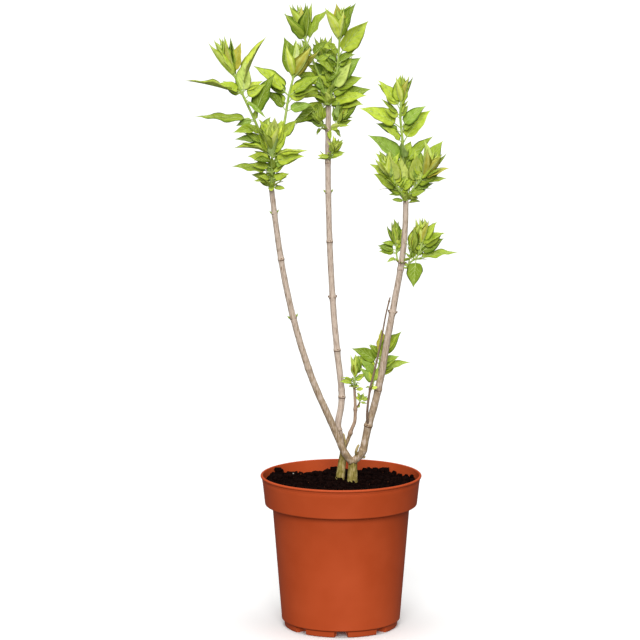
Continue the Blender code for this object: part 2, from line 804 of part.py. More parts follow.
def make_foliage(limbs, collection, pieces, material):
    """All masses. Every stem stands first, so that no leaf grows across another mass's stem."""
    stems = {}
    for name, shoots in SHOOTS.items():
        main = None
        stems[name] = []
        for number, shoot in enumerate(shoots):
            points = shoot_course(shoot, main)
            main = main or points
            label = name if number == 0 else name + "_side"
            radii = shoot_radii(shoot, len(points))
            stems[name].append(tube(label, points, radii, TWIG_CORNERS, collection))
    limb_trees = [tree_of(limb.data) for limb in limbs]
    stem_trees = {name: [tree_of(s.data) for s in parts] for name, parts in stems.items()}
    grown = []
    for name, parts in stems.items():
        others = limb_trees + grown
        for other, trees in stem_trees.items():
            if other != name:
                others = others + trees
        grown += make_mass(name, parts, others, collection, pieces, material)


def pot_profile():
    """The outside of the pot from the rim down to the centre of its underside."""
    return (
        (0.0, RIM_TOP),
        (RIM_RADIUS - LIP_WIDTH, RIM_TOP),
        (RIM_RADIUS, RIM_TOP - BEAD_ROUNDING),
        (RIM_RADIUS, RIM_TOP - BEAD),
        (RIM_RADIUS - BEAD_STEP, RIM_TOP - LIP_UNDERCUT),
        (BAND_TOP_RADIUS, RIM_TOP - BAND_START),
        (BAND_FOOT_RADIUS, BAND_BOTTOM + BAND_BEVEL),
        (BAND_FOOT_RADIUS - BAND_BEVEL, BAND_BOTTOM),
        (BODY_TOP_RADIUS, BAND_BOTTOM),
        (BODY_FOOT_RADIUS, BODY_FOOT),
        (BODY_FOOT_RADIUS - FOOT_LEDGE, FOOT_TOP),
        (FOOT_RADIUS, FOOT_TOP - FOOT_BEVEL),
        (FOOT_RADIUS - FOOT_TAPER, FOOT_ROUNDING),
        (FOOT_RADIUS - FOOT_TAPER - FOOT_ROUNDING, 0.0),
        (0.0, 0.0),
    )


def cavity_profile():
    """The inside of the pot, which opens over the rim."""
    mouth = RIM_RADIUS - WALL - BEAD_STEP
    floor_radius = FOOT_RADIUS - FOOT_TAPER - WALL
    return (
        (0.0, RIM_TOP + OVERRUN),
        (mouth, RIM_TOP + OVERRUN),
        (mouth, RIM_TOP),
        (BAND_TOP_RADIUS - WALL, RIM_TOP - BAND_START),
        (BAND_FOOT_RADIUS - WALL, SHOULDER_TOP),
        (BODY_TOP_RADIUS - WALL, SHOULDER),
        (BODY_FOOT_RADIUS - WALL, BODY_FOOT),
        (floor_radius, WALL * 2),
        (floor_radius - WALL, WALL),
        (0.0, WALL),
    )


def channel(number, grown, collection):
    """One radial channel under the pot: a box whose corners are moved so that its sides slope inwards."""
    bpy.ops.mesh.primitive_cube_add(size=1.0)
    block = bpy.context.object
    block.name = f"channel_{number}"
    move_to(block, collection)
    inner = CHANNEL_INNER_END - grown
    outer = BODY_FOOT_RADIUS + OVERRUN * 2
    turn = math.tau * number / CHANNELS - math.pi / 2
    for corner in block.data.vertices:
        far = corner.co.x > 0
        high = corner.co.z > 0
        width = (CHANNEL_TOP_WIDTH if high else CHANNEL_FOOT_WIDTH) + 2 * grown
        radius = outer if far else inner
        aside = math.copysign(width / 2, corner.co.y)
        if not far:
            aside *= CHANNEL_NARROWING
        height = CHANNEL_HEIGHT + grown if high else -OVERRUN
        x = radius * math.cos(turn) - aside * math.sin(turn)
        y = radius * math.sin(turn) + aside * math.cos(turn)
        corner.co = Vector((x, y, height)) * MM
    return make_cutter(block)


def make_pot(collection, cutters, material):
    pot = turned("pot", pot_profile(), POT_STEPS, collection, material)
    cavity = make_cutter(turned("cavity", cavity_profile(), POT_STEPS, cutters))
    for number in range(CHANNELS):
        cut(cavity, channel(number, WALL, cutters))
    for number in range(CHANNELS):
        cut(pot, channel(number, 0.0, cutters))
    cut(pot, cavity)
    keep_whole(pot)
    smooth(pot)
    return pot


def wall_radius(height):
    """The pot's inside radius in mm at a height between the foot and the shoulder."""
    share = (height - BODY_FOOT) / (SHOULDER - BODY_FOOT)
    return BODY_FOOT_RADIUS + (BODY_TOP_RADIUS - BODY_FOOT_RADIUS) * share - WALL


def band_wall_radius(height):
    """The pot's inside radius in mm at a height within the band."""
    share = (height - SHOULDER_TOP) / (RIM_TOP - BAND_START - SHOULDER_TOP)
    return BAND_FOOT_RADIUS + (BAND_TOP_RADIUS - BAND_FOOT_RADIUS) * share - WALL


def make_soil(collection, material):
    """The soil: lumpy on top, flat where the trunks stand, and 0.3 mm clear of the pot all round."""
    floor = CHANNEL_HEIGHT + WALL + CLEAR
    low = floor + CLEAR + WALL
    reach = CLEAR * 2
    profile = [
        (0.0, SOIL_LEVEL),
        *((radius, SOIL_LEVEL) for radius in SOIL_RINGS),
        (band_wall_radius(SOIL_LEVEL) - reach - SOIL_EDGE, SOIL_LEVEL - SOIL_EDGE * 2),
        (band_wall_radius(SHOULDER_TOP) - reach, SHOULDER_TOP + SOIL_EDGE),
        (wall_radius(SHOULDER) - reach, SHOULDER + SOIL_EDGE),
        (wall_radius(low) - reach, low),
        (wall_radius(low) - SOIL_CORNER, floor),
        (0.0, floor),
    ]
    soil = turned("soil", profile, SOIL_STEPS, collection, material)
    chance = random.Random(SOIL_SEED)
    for corner in soil.data.vertices:
        if abs(corner.co.z - SOIL_LEVEL * MM) > CLEAR * MM:
            continue
        radius = math.hypot(corner.co.x, corner.co.y) / MM
        lump = chance.uniform(-SOIL_LUMP, SOIL_LUMP)
        if radius <= SEAT_RADIUS + CLEAR:
            corner.co.z = SOIL_SEAT * MM
        else:
            corner.co.z = (SOIL_LEVEL + lump) * MM
    smooth(soil)
    return soil


def main():
    clear_scene()
    parts = new_collection("lilac_bush")
    cutters = new_collection("cutters")
    pieces = new_collection("leaves_to_join")
    terracotta = make_material("terracotta_plastic", (0.42, 0.085, 0.035), 0.5)
    earth = make_material("potting_soil", (0.012, 0.006, 0.004), 0.95)
    bark = make_material("lilac_bark", (0.52, 0.42, 0.34), 0.8)
    leaf_green = make_material("lilac_leaf", (0.26, 0.42, 0.03), 0.5)
    make_pot(parts, cutters, terracotta)
    make_soil(parts, earth)
    limbs = [make_limb(name, parts, cutters, bark) for name in LIMBS]
    make_foliage(limbs, parts, pieces, leaf_green)


main()
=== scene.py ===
"""The finish of a young lilac bush in its nursery pot: bark, shoots, leaves, soil and moulded pot.

Lengths are written in millimetres and multiplied by MM, in the frame's own place: the origin is the centre
of the pot's underside, +X is right, -Y is the front and +Z is up. The limbs and shoots keep to the sizes of
the solids that they stand for, and the leaves grow by the same seeded rule.
"""

import math
import random

import bmesh
import bpy
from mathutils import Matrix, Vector, noise


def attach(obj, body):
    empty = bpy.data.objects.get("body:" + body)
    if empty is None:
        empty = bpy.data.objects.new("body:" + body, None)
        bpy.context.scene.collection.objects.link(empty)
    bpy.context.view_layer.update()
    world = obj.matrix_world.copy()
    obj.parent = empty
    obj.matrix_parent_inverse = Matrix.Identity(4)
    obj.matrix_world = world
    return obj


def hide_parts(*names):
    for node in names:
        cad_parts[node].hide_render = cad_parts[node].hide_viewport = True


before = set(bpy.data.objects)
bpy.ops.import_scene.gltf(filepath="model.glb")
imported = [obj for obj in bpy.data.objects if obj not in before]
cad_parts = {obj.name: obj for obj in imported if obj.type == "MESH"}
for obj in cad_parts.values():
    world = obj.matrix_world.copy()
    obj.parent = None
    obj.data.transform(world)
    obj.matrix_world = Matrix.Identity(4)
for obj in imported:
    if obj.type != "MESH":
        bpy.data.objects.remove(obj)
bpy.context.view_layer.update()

MM = 0.001
UP = Vector((0.0, 0.0, 1.0))
RIGHT = Vector((1.0, 0.0, 0.0))

# Limbs: their bark, the radius at the foot and at the tip, what a root flare adds to the foot, and the knots
# of the course (x, y, z) from the foot up, all in mm.
LIMBS = {
    "trunk_front": ("trunk", 6.4, 5.2, 2.4, ((13.3, 6.6, 163), (13.8, 5, 185), (14, 3.5, 197))),
    "trunk_back": ("trunk", 5.8, 3.7, 2.2,
        ((-2.8, 20.6, 163), (1, 19, 187), (2.5, 18, 203), (3.5, 18, 213))),
    "stem_left": ("side", 4.3, 3.1, 0.0,
        ((12.4, 1.5, 195.5), (3.5, -2, 209), (-5, -4, 229), (-16, -8, 255), (-31, -13, 290),
         (-47, -18, 338), (-60, -21, 388), (-70, -23, 440), (-77, -25, 490), (-81, -25, 524))),
    "stem_middle": ("stem", 3.9, 3.1, 0.0,
        ((3.2, 18, 211.5), (-1.5, 18, 226), (-3.5, 18, 237), (0.5, 19, 262), (0.8, 20, 276),
         (-4.5, 21, 325), (-10, 22, 388), (-14, 22, 470), (-15.5, 22, 550), (-15, 22, 616))),
    "stem_right": ("side", 4.6, 3.2, 0.0,
        ((15, 2.5, 196.5), (24.5, 0, 207), (29, -1, 225), (32, -2, 240), (38.5, -2, 262), (47, -3, 300),
         (54, -4, 342), (63, -5, 392), (70, -6, 432), (74, -6, 470), (75, -6, 508))),
    "stem_small": ("small", 2.4, 1.5, 0.0,
        ((4.2, 16, 210), (8.5, 12, 221), (12, 9, 232), (16, 7, 243), (16.8, 6, 256), (16.5, 5, 268),
         (15.5, 4, 286))),
    "twig_thin": ("twig", 1.5, 0.8, 0.0,
        ((31.5, -5.5, 243.5), (30.5, -9.5, 252), (31, -12, 264), (34, -14, 286), (40, -14, 312),
         (46, -13, 340), (52, -11, 373), (57, -10.5, 394))),
    "stub_back": ("trunk", 1.4, 0.9, 0.0,
        ((4.6, 14.6, 208.5), (5.4, 9.5, 215), (4.4, 8.6, 222), (3, 8.4, 229))),
    "stub_front": ("trunk", 2.0, 1.3, 0.0,
        ((18.4, 0.6, 204), (17.6, -4.4, 209), (18.6, -5.4, 213), (21, -6, 218))),
    "stub_side": ("small", 1.3, 1.0, 0.0, ((22, 0.5, 201.5), (27.6, -0.5, 201.5), (28.4, -0.5, 203.5))),
}
LIMB_SPANS = 2
# Share of a trunk's length that its root flare takes
FLARE_SHARE = 0.25

# Shoots: a mass of foliage is one or two of them. Each is its seed, its radius at the foot, low down and at
# its tip, where it stands, its tuft, the rest of its way up, and its pairs of opposite leaves.
# It stands on a limb, at the "tip" with the compass turn and the distance from the tip's centre, or on the
# "side" with the height and compass turn there, or it is a "branch" of the mass's first shoot at a height.
# The tuft is the bud of young leaves at the tip: pairs, blade in mm, spread in degrees, compass turn.
# A pair is its height in mm, the compass turn of its first leaf, and then, for one leaf and the other, the
# rise above level, the blade's length in mm and the roll towards the front. A blade of 0 is no leaf.
FORK_RING = 1.9
SHOOTS = {
    "foliage_left_outer": (
        (1, (1.35, 1.9, 1.2), ("stem_left", "tip", 160, FORK_RING), (5, 45, 23, 35),
         ((-84, -28, 560), (-98, -32, 598), (-113, -34, 631), (-125, -35, 659)),
         ((592, 200, -6, 0, 27, 0, 50, 0), (603, 180, 2, 63, 58, 50, 8, 40),
          (628, 170, 20, -42, 0, 30, 0, 5), (634, 205, 20, 22, 27, 26, 55, 20),
          (633, 180, 12, 64, 57, 61, 2, 12))),
    ),
    "foliage_left_inner": (
        (2, (1.35, 1.9, 1.2), ("stem_left", "tip", 40, FORK_RING), (5, 40, 34, 30),
         ((-75, -17, 560), (-66, -13, 598), (-61, -12, 628), (-54, -11, 656)),
         ((611, 195, 40, 10, 30, 28, 40, 50), (629, 178, 38, 12, 46, 29, 40, 45))),
    ),
    "foliage_left_centre": (
        (3, (1.35, 1.6, 1.0), ("stem_left", "tip", 280, FORK_RING), (4, 31, 34, 45),
         ((-80, -35, 550), (-80, -42, 574)),
         ((531, 180, 0, 16, 18, 17, 30, 30), (535, 250, 25, 0, 17, 0, 20, 0),
          (543, 268, 50, 0, 20, 0, 20, 0), (542, 180, 6, 24, 40, 36, 14, 40),
          (556, 215, 2, 10, 22, 24, 40, 20), (561, 182, 22, 6, 34, 30, 10, 0),
          (566, 192, 4, -1, 38, 38, 4, 8), (569, 205, 52, 62, 30, 30, 30, 60))),
    ),
    "foliage_middle_left": (
        (4, (1.35, 1.5, 1.1), ("stem_middle", "tip", 180, FORK_RING), (5, 39, 36, 30),
         ((-24, 19, 645), (-34, 18, 670), (-41, 18, 689), (-43, 18, 699)),
         ((650, 180, -30, 20, 32, 16, 30, 20), (676, 180, -30, -40, 14, 15, 20, 40))),
    ),
    "foliage_middle_right": (
        (5, (1.35, 1.6, 1.1), ("stem_middle", "tip", 300, FORK_RING), (4, 37, 32, 30),
         ((-6, 18, 650), (-3, 16, 678), (-2, 15, 697)),
         ((652, 205, 28, 30, 26, 29, 60, 50), (664, 180, 30, 26, 18, 20, 30, 30),
          (681, 180, 5, 41, 20, 0, 50, 65))),
    ),
    "foliage_middle_centre": (
        (6, (1.35, 1.5, 0.9), ("stem_middle", "tip", 60, FORK_RING), (3, 25, 30, 20),
         ((-16, 35, 645), (-19, 40, 672)),
         ((619, 172, -38, 8, 42, 38, 25, 45), (627, 200, 20, -8, 24, 30, 30, 60),
          (634, 170, 45, 38, 26, 36, 30, 40), (640, 90, 35, 0, 26, 0, 20, 0),
          (646, 200, 30, 35, 26, 24, 50, 50), (656, 80, 45, 45, 24, 24, 20, 20))),
    ),
    "foliage_middle_side_left": (
        (7, (1.1, 1.1, 0.7), ("stem_middle", "side", 588, 180), (3, 19, 26, 60),
         ((-22.5, 20, 591.5), (-25, 17, 597)),
         ((589.5, 195, -55, 0, 10, 0, 30, 30), (592, 180, 10, 88, 20, 22, 30, 30),
          (595, 230, 40, 60, 20, 18, 40, 30))),
    ),
    "foliage_middle_side_right": (
        (8, (1.1, 1.1, 0.7), ("stem_middle", "side", 588, 0), (3, 18, 26, 60),
         ((-7, 21, 591.5), (-3, 20, 597)),
         ((589.5, 10, -60, 0, 12, 0, 30, 30), (592, 350, -4, 80, 14, 20, 30, 30),
          (594, 0, 20, 100, 18, 22, 30, 30))),
    ),
    "foliage_middle_low": (
        (9, (1.1, 1.1, 0.7), ("stem_middle", "side", 553, 290), (3, 18, 32, 30),
         ((-12, 13, 557), (-9, 10, 564)),
         ((555, 180, 10, 10, 9, 9, 30, 30), (558, 240, 10, 20, 10, 10, 30, 30),
          (562, 0, 35, 60, 12, 12, 30, 30))),
    ),
    "foliage_right_centre": (
        (10, (1.35, 1.9, 1.2), ("stem_right", "tip", 80, FORK_RING), (4, 31, 24, 30),
         ((73, -4, 545), (70.5, -7, 580), (68, -9, 608), (70, -10, 625)),
         ((547, 180, 38, 43, 47, 41, 45, 35), (573, 200, 34, 44, 28, 44, 60, 50),
          (591, 180, 22, 39, 46, 33, 35, 60), (605, 180, 40, 60, 26, 18, 30, 30),
          (612, 180, 50, 68, 37, 28, 50, 30))),
    ),
    "foliage_right_left": (
        (11, (1.35, 1.5, 0.9), ("stem_right", "tip", 200, FORK_RING), (4, 27, 34, 45),
         ((66, -11, 520), (58, -15, 531), (55, -16, 540)),
         ((513, 180, 0, 0, 15, 0, 30, 0), (520, 180, -4, 60, 20, 16, 0, 30),
          (522, 240, 30, 30, 20, 16, 40, 30), (529, 168, 34, 80, 30, 26, 20, 30),
          (531, 230, 45, 0, 28, 0, 50, 0), (535, 180, 55, 68, 28, 26, 40, 30))),
    ),
    "foliage_right_right": (
        (12, (1.35, 1.5, 0.9), ("stem_right", "tip", 320, FORK_RING), (4, 33, 30, 30),
         ((84, -10, 521), (91, -13, 530), (97, -15, 540)),
         ((513, 0, -15, 0, 10, 0, 20, 30), (516, 5, 5, 60, 16, 14, 20, 30), (519, 0, 4, 80, 20, 22, 0, 40),
          (527, 200, 60, 20, 20, 16, 60, 30), (531, 0, 2, 74, 26, 28, 25, 60),
          (536, 340, 22, 80, 22, 22, 20, 30), (538, 0, 42, 80, 24, 22, 30, 30))),
    ),
    "foliage_right_mid_left": (
        (13, (1.1, 1.1, 0.8), ("stem_right", "side", 433, 120), (4, 26, 30, 160),
         ((65, 3, 440), (64, 4.5, 456)),
         ((438, 200, -20, 0, 12, 0, 30, 0), (443, 180, 6, 50, 18, 12, 40, 30),
          (452, 180, 10, 50, 15, 12, 40, 30))),
    ),
    "foliage_right_mid_right": (
        (14, (1.1, 1.2, 0.8), ("stem_right", "side", 429, 350), (4, 29, 30, 30),
         ((80, -8, 434), (88, -10, 441), (93, -10, 452), (94, -10, 460)),
         ((440, 255, -64, 0, 31, 0, -8, 0), (437, 0, 0, 40, 14, 12, 10, 30),
          (438, 0, 6, 60, 44, 14, 20, 30), (453, 0, 28, 75, 27, 22, 45, 30))),
        (15, (0.9, 0.9, 0.7), ("branch", 431.5), (3, 33, 12, 45),
         ((80, -11, 443), (82, -13, 452)),
         ((446, 200, 60, 50, 14, 12, 30, 30),)),
    ),
    "foliage_lower": (
        (16, (1.0, 1.3, 0.8), ("twig_thin", "side", 286, 55), (2, 27, 14, 60),
         ((37, -6, 290), (41, 6, 299), (45, 12, 312), (46, 14, 322)),
         ((288.5, 190, 55, 0, 22, 0, 60, 0), (299.5, 190, 36, 13, 19, 38, 60, 25),
          (311, 180, 0, 20, 0, 22, 0, 40), (320, 180, 48, 48, 16, 31, 30, 60))),
    ),
    "foliage_small": (
        (17, (1.0, 1.0, 0.7), ("stem_small", "tip", 0, 0), (3, 25, 18, 30),
         ((16.2, 4, 293), (16.3, 4, 299)),
         ((289, 185, 0, 0, 7, 7, 20, 20), (290, 260, 0, 0, 7, 7, 20, 20),
          (291, 180, 14, 36, 15, 15, 10, 40))),
    ),
    "foliage_small_buds": (
        (18, (0.9, 0.9, 0.7), ("stem_small", "side", 261, 0), (2, 9, 45, 0),
         ((21.5, 6, 265), (24, 7, 271)),
         ((266, 10, -10, 85, 8, 8, 30, 30), (269, 110, 20, 50, 8, 9, 30, 30))),
    ),
}
# How far a shoot starts inside its limb and runs straight out of it, mm, and over which share of it it swells
SUNK = 1.0
SEAT_RUN = 3.0
SWELLING_SHARE = 0.2

# Shape of a leaf: stalk and widths as shares of the blade's length, turns and rises in degrees
STALK = 0.2
TUFT_STALK = 0.06
FOOT_STALK = 0.1
BLADE_WIDTH = 0.53
HANGING = -50.0
HANGING_WIDTH = 0.64
FOOT_WIDTH = 0.6
FREE_TURN = 9.0
FREE_HEADING = 1.3
FREE_ROLL = 1.5
TUFT_WIDTH = 0.52
TUFT_WIDTHS = {"foliage_left_outer": 0.46, "foliage_middle_left": 0.62, "foliage_middle_right": 0.64,
               "foliage_left_inner": 0.58}
SHORT_BLADE = 29.0
TURN_SWAY = 8.0
ROLL_SWAY = 8.0
ARCH = (6.0, 20.0)
ARCH_LIFT = 0.4
ARCH_START = 0.35
ARCH_GAIN = 1.6
TUFT_DEPTH = 0.16
TUFT_CLOSING = 0.8
TUFT_SHORTENING = 0.22
TUFT_LENGTHS = (0.9, 1.06)
TUFT_FULLNESS = 1.12
TUFT_BEND = (0.5, 1.1)
TUFT_TURN_SWAY = 14.0
TUFT_LEAN_SWAY = 4.0
TUFT_ROLL_SWAY = 15.0
# Small leaves round a limb: the turn from one to the next, how much they sway, their bend, and how far out
SPIRAL = 137.5
FOOT_TURN_SWAY = 15
FOOT_ROLL_SWAY = 60
FOOT_ARCH = (-10, 40)
FOOT_DEPTH = 0.7

# Fineness: points along a limb in mm, corners round it, and stations of a leaf
BARK_STEP = 1.1
BARK_CORNERS = 28
SHOOT_SPANS = 8
SHOOT_CORNERS = 12
BLADE_STATIONS = 18
SMALL_STATIONS = 11
STALK_STATIONS = 5
HALF_COLUMNS = 4
RIB_CORNERS = 6
VEIN_CORNERS = 3

# Leaf greens as sRGB hex: upper side, underside, and a darker green painted on as shade along a blade's edge
# and in bands along bud leaves
GREENS = {
    "fresh": ("AEC41E", "BCCC54", "86A00C"),
    "grass": ("96AE1A", "A6BA3E", "6E8A08"),
    "deep": ("76900A", "8EA42A", "527002"),
    "bluish": ("8EAE3C", "A4BE68", "6C8E24"),
    "lime": ("C8D836", "CCD86A", "A0B618"),
    "pale": ("C6D86C", "CEDC8C", "9AB238"),
    "olive": ("B4AE2E", "B8BA50", "888812"),
}
TONES = list(GREENS)
# The third green is painted shade, laid on a blade's edge and in bands along it
UPPER, UNDER, PAINTED_SHADE = range(3)
# Which greens a leaf may have, low on a shoot, high on it and in its bud
LOW_GREENS = ("grass", "deep", "fresh", "bluish", "grass", "fresh")
HIGH_GREENS = ("fresh", "grass", "fresh", "lime")
BUD_GREENS = ("fresh", "lime", "grass", "pale", "fresh", "grass", "lime", "olive", "deep")

# Finer pairs of leaves, in the same form as the pairs of the shoots: they fill each mass within its reach.
# A last entry names the greens of the two leaves.
FINER = {
    "foliage_left_outer": (
        (630, 180, 30, 80, 25, 36, 84, 75, "grass pale"), (653, 180, 56, 74, 40, 34, 40, 60, "pale olive"),
        (601, 185, -20, 70, 20, 14, 75, 60, "bluish fresh"),
        (570, 190, 24, 50, 27, 18, 50, 50, "grass fresh"), (574, 240, 34, 44, 22, 20, 50, 50, "deep fresh"),
        (586, 200, 30, 50, 18, 20, 60, 50, "grass grass"),
        (577, 180, 0, 50, 29, 18, 30, 50, "bluish fresh"), (627, 10, 28, 0, 25, 0, 70, 60, "fresh grass"),
    ),
    "foliage_left_inner": (
        (646, 180, 71, 64, 44, 37, 80, 70, "deep olive"), (629, 0, 28, 20, 38, 27, 65, 60, "grass deep"),
        (619, 350, 28, 24, 38, 22, 84, 60, "fresh grass"), (578, 0, 42, 60, 26, 22, 82, 60, "fresh deep"),
    ),
    "foliage_left_centre": (
        (533, 170, 8, 12, 21, 19, 70, 70, "grass fresh"), (534, 215, 20, 24, 15, 15, 60, 60, "fresh grass"),
        (541, 180, 40, 34, 16, 16, 60, 60, "bluish fresh"),
        (548, 180, 2, 20, 22, 22, 60, 65, "fresh bluish"), (553, 0, 14, 40, 32, 22, 70, 60, "fresh grass"),
        (556, 280, 64, 66, 30, 26, 10, 10, "bluish grass"),
        (560, 170, 56, 60, 34, 32, 65, 65, "grass fresh"), (555, 190, 4, 60, 25, 18, 70, 50, "fresh grass"),
        (563, 0, 66, 78, 36, 30, 78, 60, "fresh lime"), (566, 260, 76, 70, 32, 30, 20, 20, "lime fresh"),
        (569, 300, 74, 70, 34, 30, 20, 20, "lime pale"), (571, 210, 66, 60, 34, 30, 50, 50, "fresh lime"),
    ),
    "foliage_middle_left": (
        (686, 180, 48, 62, 38, 42, 70, 55, "deep grass"), (664, 175, 10, 34, 22, 20, 50, 50, "deep grass"),
        (640, 178, 24, 40, 30, 24, 55, 50, "grass deep"),
        (628, 180, -14, 30, 36, 20, 70, 50, "fresh grass"),
        (630, 190, 50, 60, 24, 24, 55, 50, "bluish grass"), (672, 20, 44, 50, 22, 20, 60, 60, "deep deep"),
    ),
    "foliage_middle_right": (
        (688, 180, 78, 61, 39, 43, 85, 50, "olive deep"), (690, 190, 72, 76, 36, 38, 70, 60, "fresh grass"),
        (671, 180, 58, 47, 20, 47, 60, 84, "grass fresh"), (638, 0, 36, 60, 39, 22, 78, 50, "bluish grass"),
        (632, 0, 26, 50, 33, 22, 65, 50, "grass fresh"), (656, 10, 36, 50, 28, 22, 55, 60, "grass deep"),
        (636, 8, 62, 50, 36, 20, 65, 60, "fresh grass"), (631, 340, 52, 70, 36, 24, 60, 60, "pale grass"),
        (624, 0, 18, 40, 26, 18, 50, 50, "grass bluish"), (623, 320, 66, 60, 24, 20, 40, 50, "bluish grass"),
    ),
    "foliage_middle_centre": (
        (616, 0, 14, 26, 44, 24, 65, 60, "deep grass"), (617.5, 0, 2, -34, 34, 44, 75, 50, "fresh deep"),
        (624, 200, 58, 62, 24, 24, 50, 50, "bluish grass"),
        (630, 250, 58, 50, 22, 20, 30, 30, "bluish bluish"),
        (636, 290, 62, 60, 22, 22, 20, 30, "pale grass"), (622, 300, 50, 44, 22, 20, 30, 30, "fresh deep"),
        (641, 200, 56, 60, 26, 24, 60, 50, "bluish deep"), (650, 20, 60, 64, 26, 24, 60, 50, "grass grass"),
        (660, 190, 64, 66, 26, 22, 70, 60, "deep grass"),
    ),
    "foliage_middle_side_left": (
        (588, 185, 22, 0, 22, 0, 65, 0, "bluish fresh"), (594, 200, 60, 84, 22, 18, 55, 50, "fresh grass"),
        (596, 250, 66, 70, 20, 16, 30, 40, "grass fresh"),
    ),
    "foliage_middle_side_right": (
        (590, 0, 26, 0, 19, 0, 50, 0, "grass fresh"), (594, 350, 52, 86, 24, 20, 60, 50, "fresh grass"),
        (596, 280, 70, 70, 22, 16, 30, 40, "bluish grass"), (595, 0, 38, 80, 31, 18, 75, 50, "deep grass"),
    ),
    "foliage_middle_low": (
        (556, 190, 0, 8, 11, 15, 70, 70, "fresh grass"), (553, 345, 10, 10, 16, 13, 70, 60, "fresh lime"),
        (559, 270, 60, 40, 15, 12, 20, 60, "grass fresh"), (560, 0, 36, 100, 16, 18, 60, 60, "grass lime"),
    ),
    "foliage_right_centre": (
        (617, 180, 48, 82, 32, 30, 40, 60, "grass fresh"),
        (602, 190, 30, 60, 20, 16, 60, 60, "fresh grass"),
        (586, 180, 26, 44, 27, 20, 60, 60, "bluish grass"),
        (552, 250, 60, 58, 26, 24, 40, 40, "bluish grass"),
        (540, 290, 60, 62, 26, 24, 40, 40, "deep grass"), (530, 10, 64, 62, 28, 24, 60, 60, "grass deep"),
    ),
    "foliage_right_left": (
        (513, 175, 12, 60, 20, 16, 65, 60, "grass fresh"), (515, 275, 80, 70, 36, 30, 10, 10, "lime fresh"),
        (517, 180, 42, 40, 40, 20, 60, 60, "deep fresh"), (519, 182, 36, 60, 31, 16, 70, 60, "grass fresh"),
        (517.5, 300, 80, 72, 36, 28, 15, 15, "fresh lime"),
        (521, 200, 66, 86, 36, 32, 70, 60, "fresh lime"), (525, 240, 72, 80, 34, 30, 40, 40, "lime fresh"),
        (531, 180, 60, 82, 32, 30, 60, 60, "grass pale"),
    ),
    "foliage_right_right": (
        (513, 340, 12, 60, 20, 16, 65, 60, "grass fresh"), (515, 0, 20, 60, 26, 24, 55, 60, "deep fresh"),
        (521, 0, 30, 84, 36, 32, 55, 60, "grass lime"), (527, 340, 52, 92, 36, 34, 60, 60, "fresh bluish"),
        (533, 0, 12, 70, 30, 30, 40, 60, "olive fresh"), (540, 10, 58, 84, 36, 32, 60, 60, "grass pale"),
        (524, 280, 76, 80, 34, 30, 20, 20, "fresh grass"),
    ),
    "foliage_right_mid_left": (
        (444, 190, 14, 40, 18, 13, 65, 60, "grass deep"), (447, 180, 18, 60, 19, 16, 65, 60, "deep fresh"),
        (453, 170, 76, 84, 27, 24, 60, 50, "grass deep"), (455, 240, 70, 70, 24, 20, 30, 30, "fresh grass"),
    ),
    "foliage_right_mid_right": (
        (438, 292, -56, 60, 0, 14, 0, 30, "bluish grass"), (437, 262, -60, 60, 0, 12, 20, 30, "pale fresh"),
        (444, 0, 24, 80, 30, 22, 60, 60, "deep fresh"), (450, 350, 36, 84, 28, 24, 75, 60, "grass pale"),
        (456, 0, 58, 98, 27, 26, 60, 50, "fresh pale"), (440, 200, 60, 50, 20, 16, 60, 50, "grass deep"),
    ),
    "foliage_lower": (
        (290, 210, 50, 60, 22, 18, 60, 60, "bluish grass"),
        (297, 200, 46, 26, 24, 30, 75, 70, "bluish fresh"),
        (304, 180, 40, 34, 26, 24, 65, 60, "fresh grass"), (315, 0, 56, 60, 30, 20, 80, 60, "fresh deep"),
        (319, 180, 80, 49, 29, 34, 65, 88, "olive grass"), (311, 180, 30, 0, 32, 0, 62, 0, "deep fresh"),
    ),
    "foliage_small": (
        (291, 180, 6, 30, 15, 12, 60, 60, "fresh bluish"),
        (293, 230, 20, 20, 10, 10, 60, 60, "grass bluish"), (296, 0, 80, 82, 23, 24, 60, 60, "deep grass"),
    ),
    "foliage_small_buds": (
        (267, 200, 30, 50, 9, 9, 60, 60, "lime fresh"), (269, 0, 10, 70, 10, 9, 60, 60, "fresh lime"),
    ),
}
# Small leaves at the foot of the shoots on a limb: height of the limb, how far in mm they are spread along
# it, their number, blade and rise
FEET = {
    "foliage_left_centre": ("stem_left", 526, 14, 12, (10, 16), (-5, 45)),
    "foliage_middle_centre": ("stem_middle", 614, 12, 16, (10, 18), (0, 65)),
    "foliage_right_centre": ("stem_right", 504, 10, 16, (9, 15), (0, 60)),
    "foliage_middle_side_left": ("stem_middle", 586, 4, 8, (8, 13), (-50, 40)),
    "foliage_middle_low": ("stem_middle", 551, 5, 7, (8, 12), (-10, 60)),
    "foliage_right_mid_left": ("stem_right", 431, 5, 6, (7, 11), (-10, 60)),
    "foliage_lower": ("twig_thin", 286, 4, 4, (6, 9), (-10, 60)),
    "foliage_small": ("stem_small", 282, 4, 7, (6, 10), (-10, 40)),
}

# Bark: its material's name, young, old and lower colour, the height in mm where the lower colour meets the
# upper one, and how far the change takes
BARKS = {
    "stem": ("lilac_bark", "D0BDAC", "9C8472", "B29A74", 226, 30),
    "side": ("lilac_side_bark", "CFBCAB", "8A7258", "A68E6A", 305, 180),
    "trunk": ("lilac_trunk_bark", "C2AE78", "6E5E2A", "9A8C44", 206, 14),
    "small": ("lilac_small_stem_bark", "BA9E86", "755A46", "96884A", 222, 14),
    "twig": ("lilac_twig_bark", "8C7460", "54402F", "7A6848", 215, 20),
}


def linear(code):
    """An sRGB hex colour as linear red, green, blue and alpha."""
    parts = [int(code[i:i + 2], 16) / 255 for i in (0, 2, 4)]
    return (*(c / 12.92 if c <= 0.04045 else ((c + 0.055) / 1.055) ** 2.4 for c in parts), 1.0)


def per(size):
    """The scale of a pattern whose marks are this many millimetres apart."""
    return 1.0 / (size * MM)


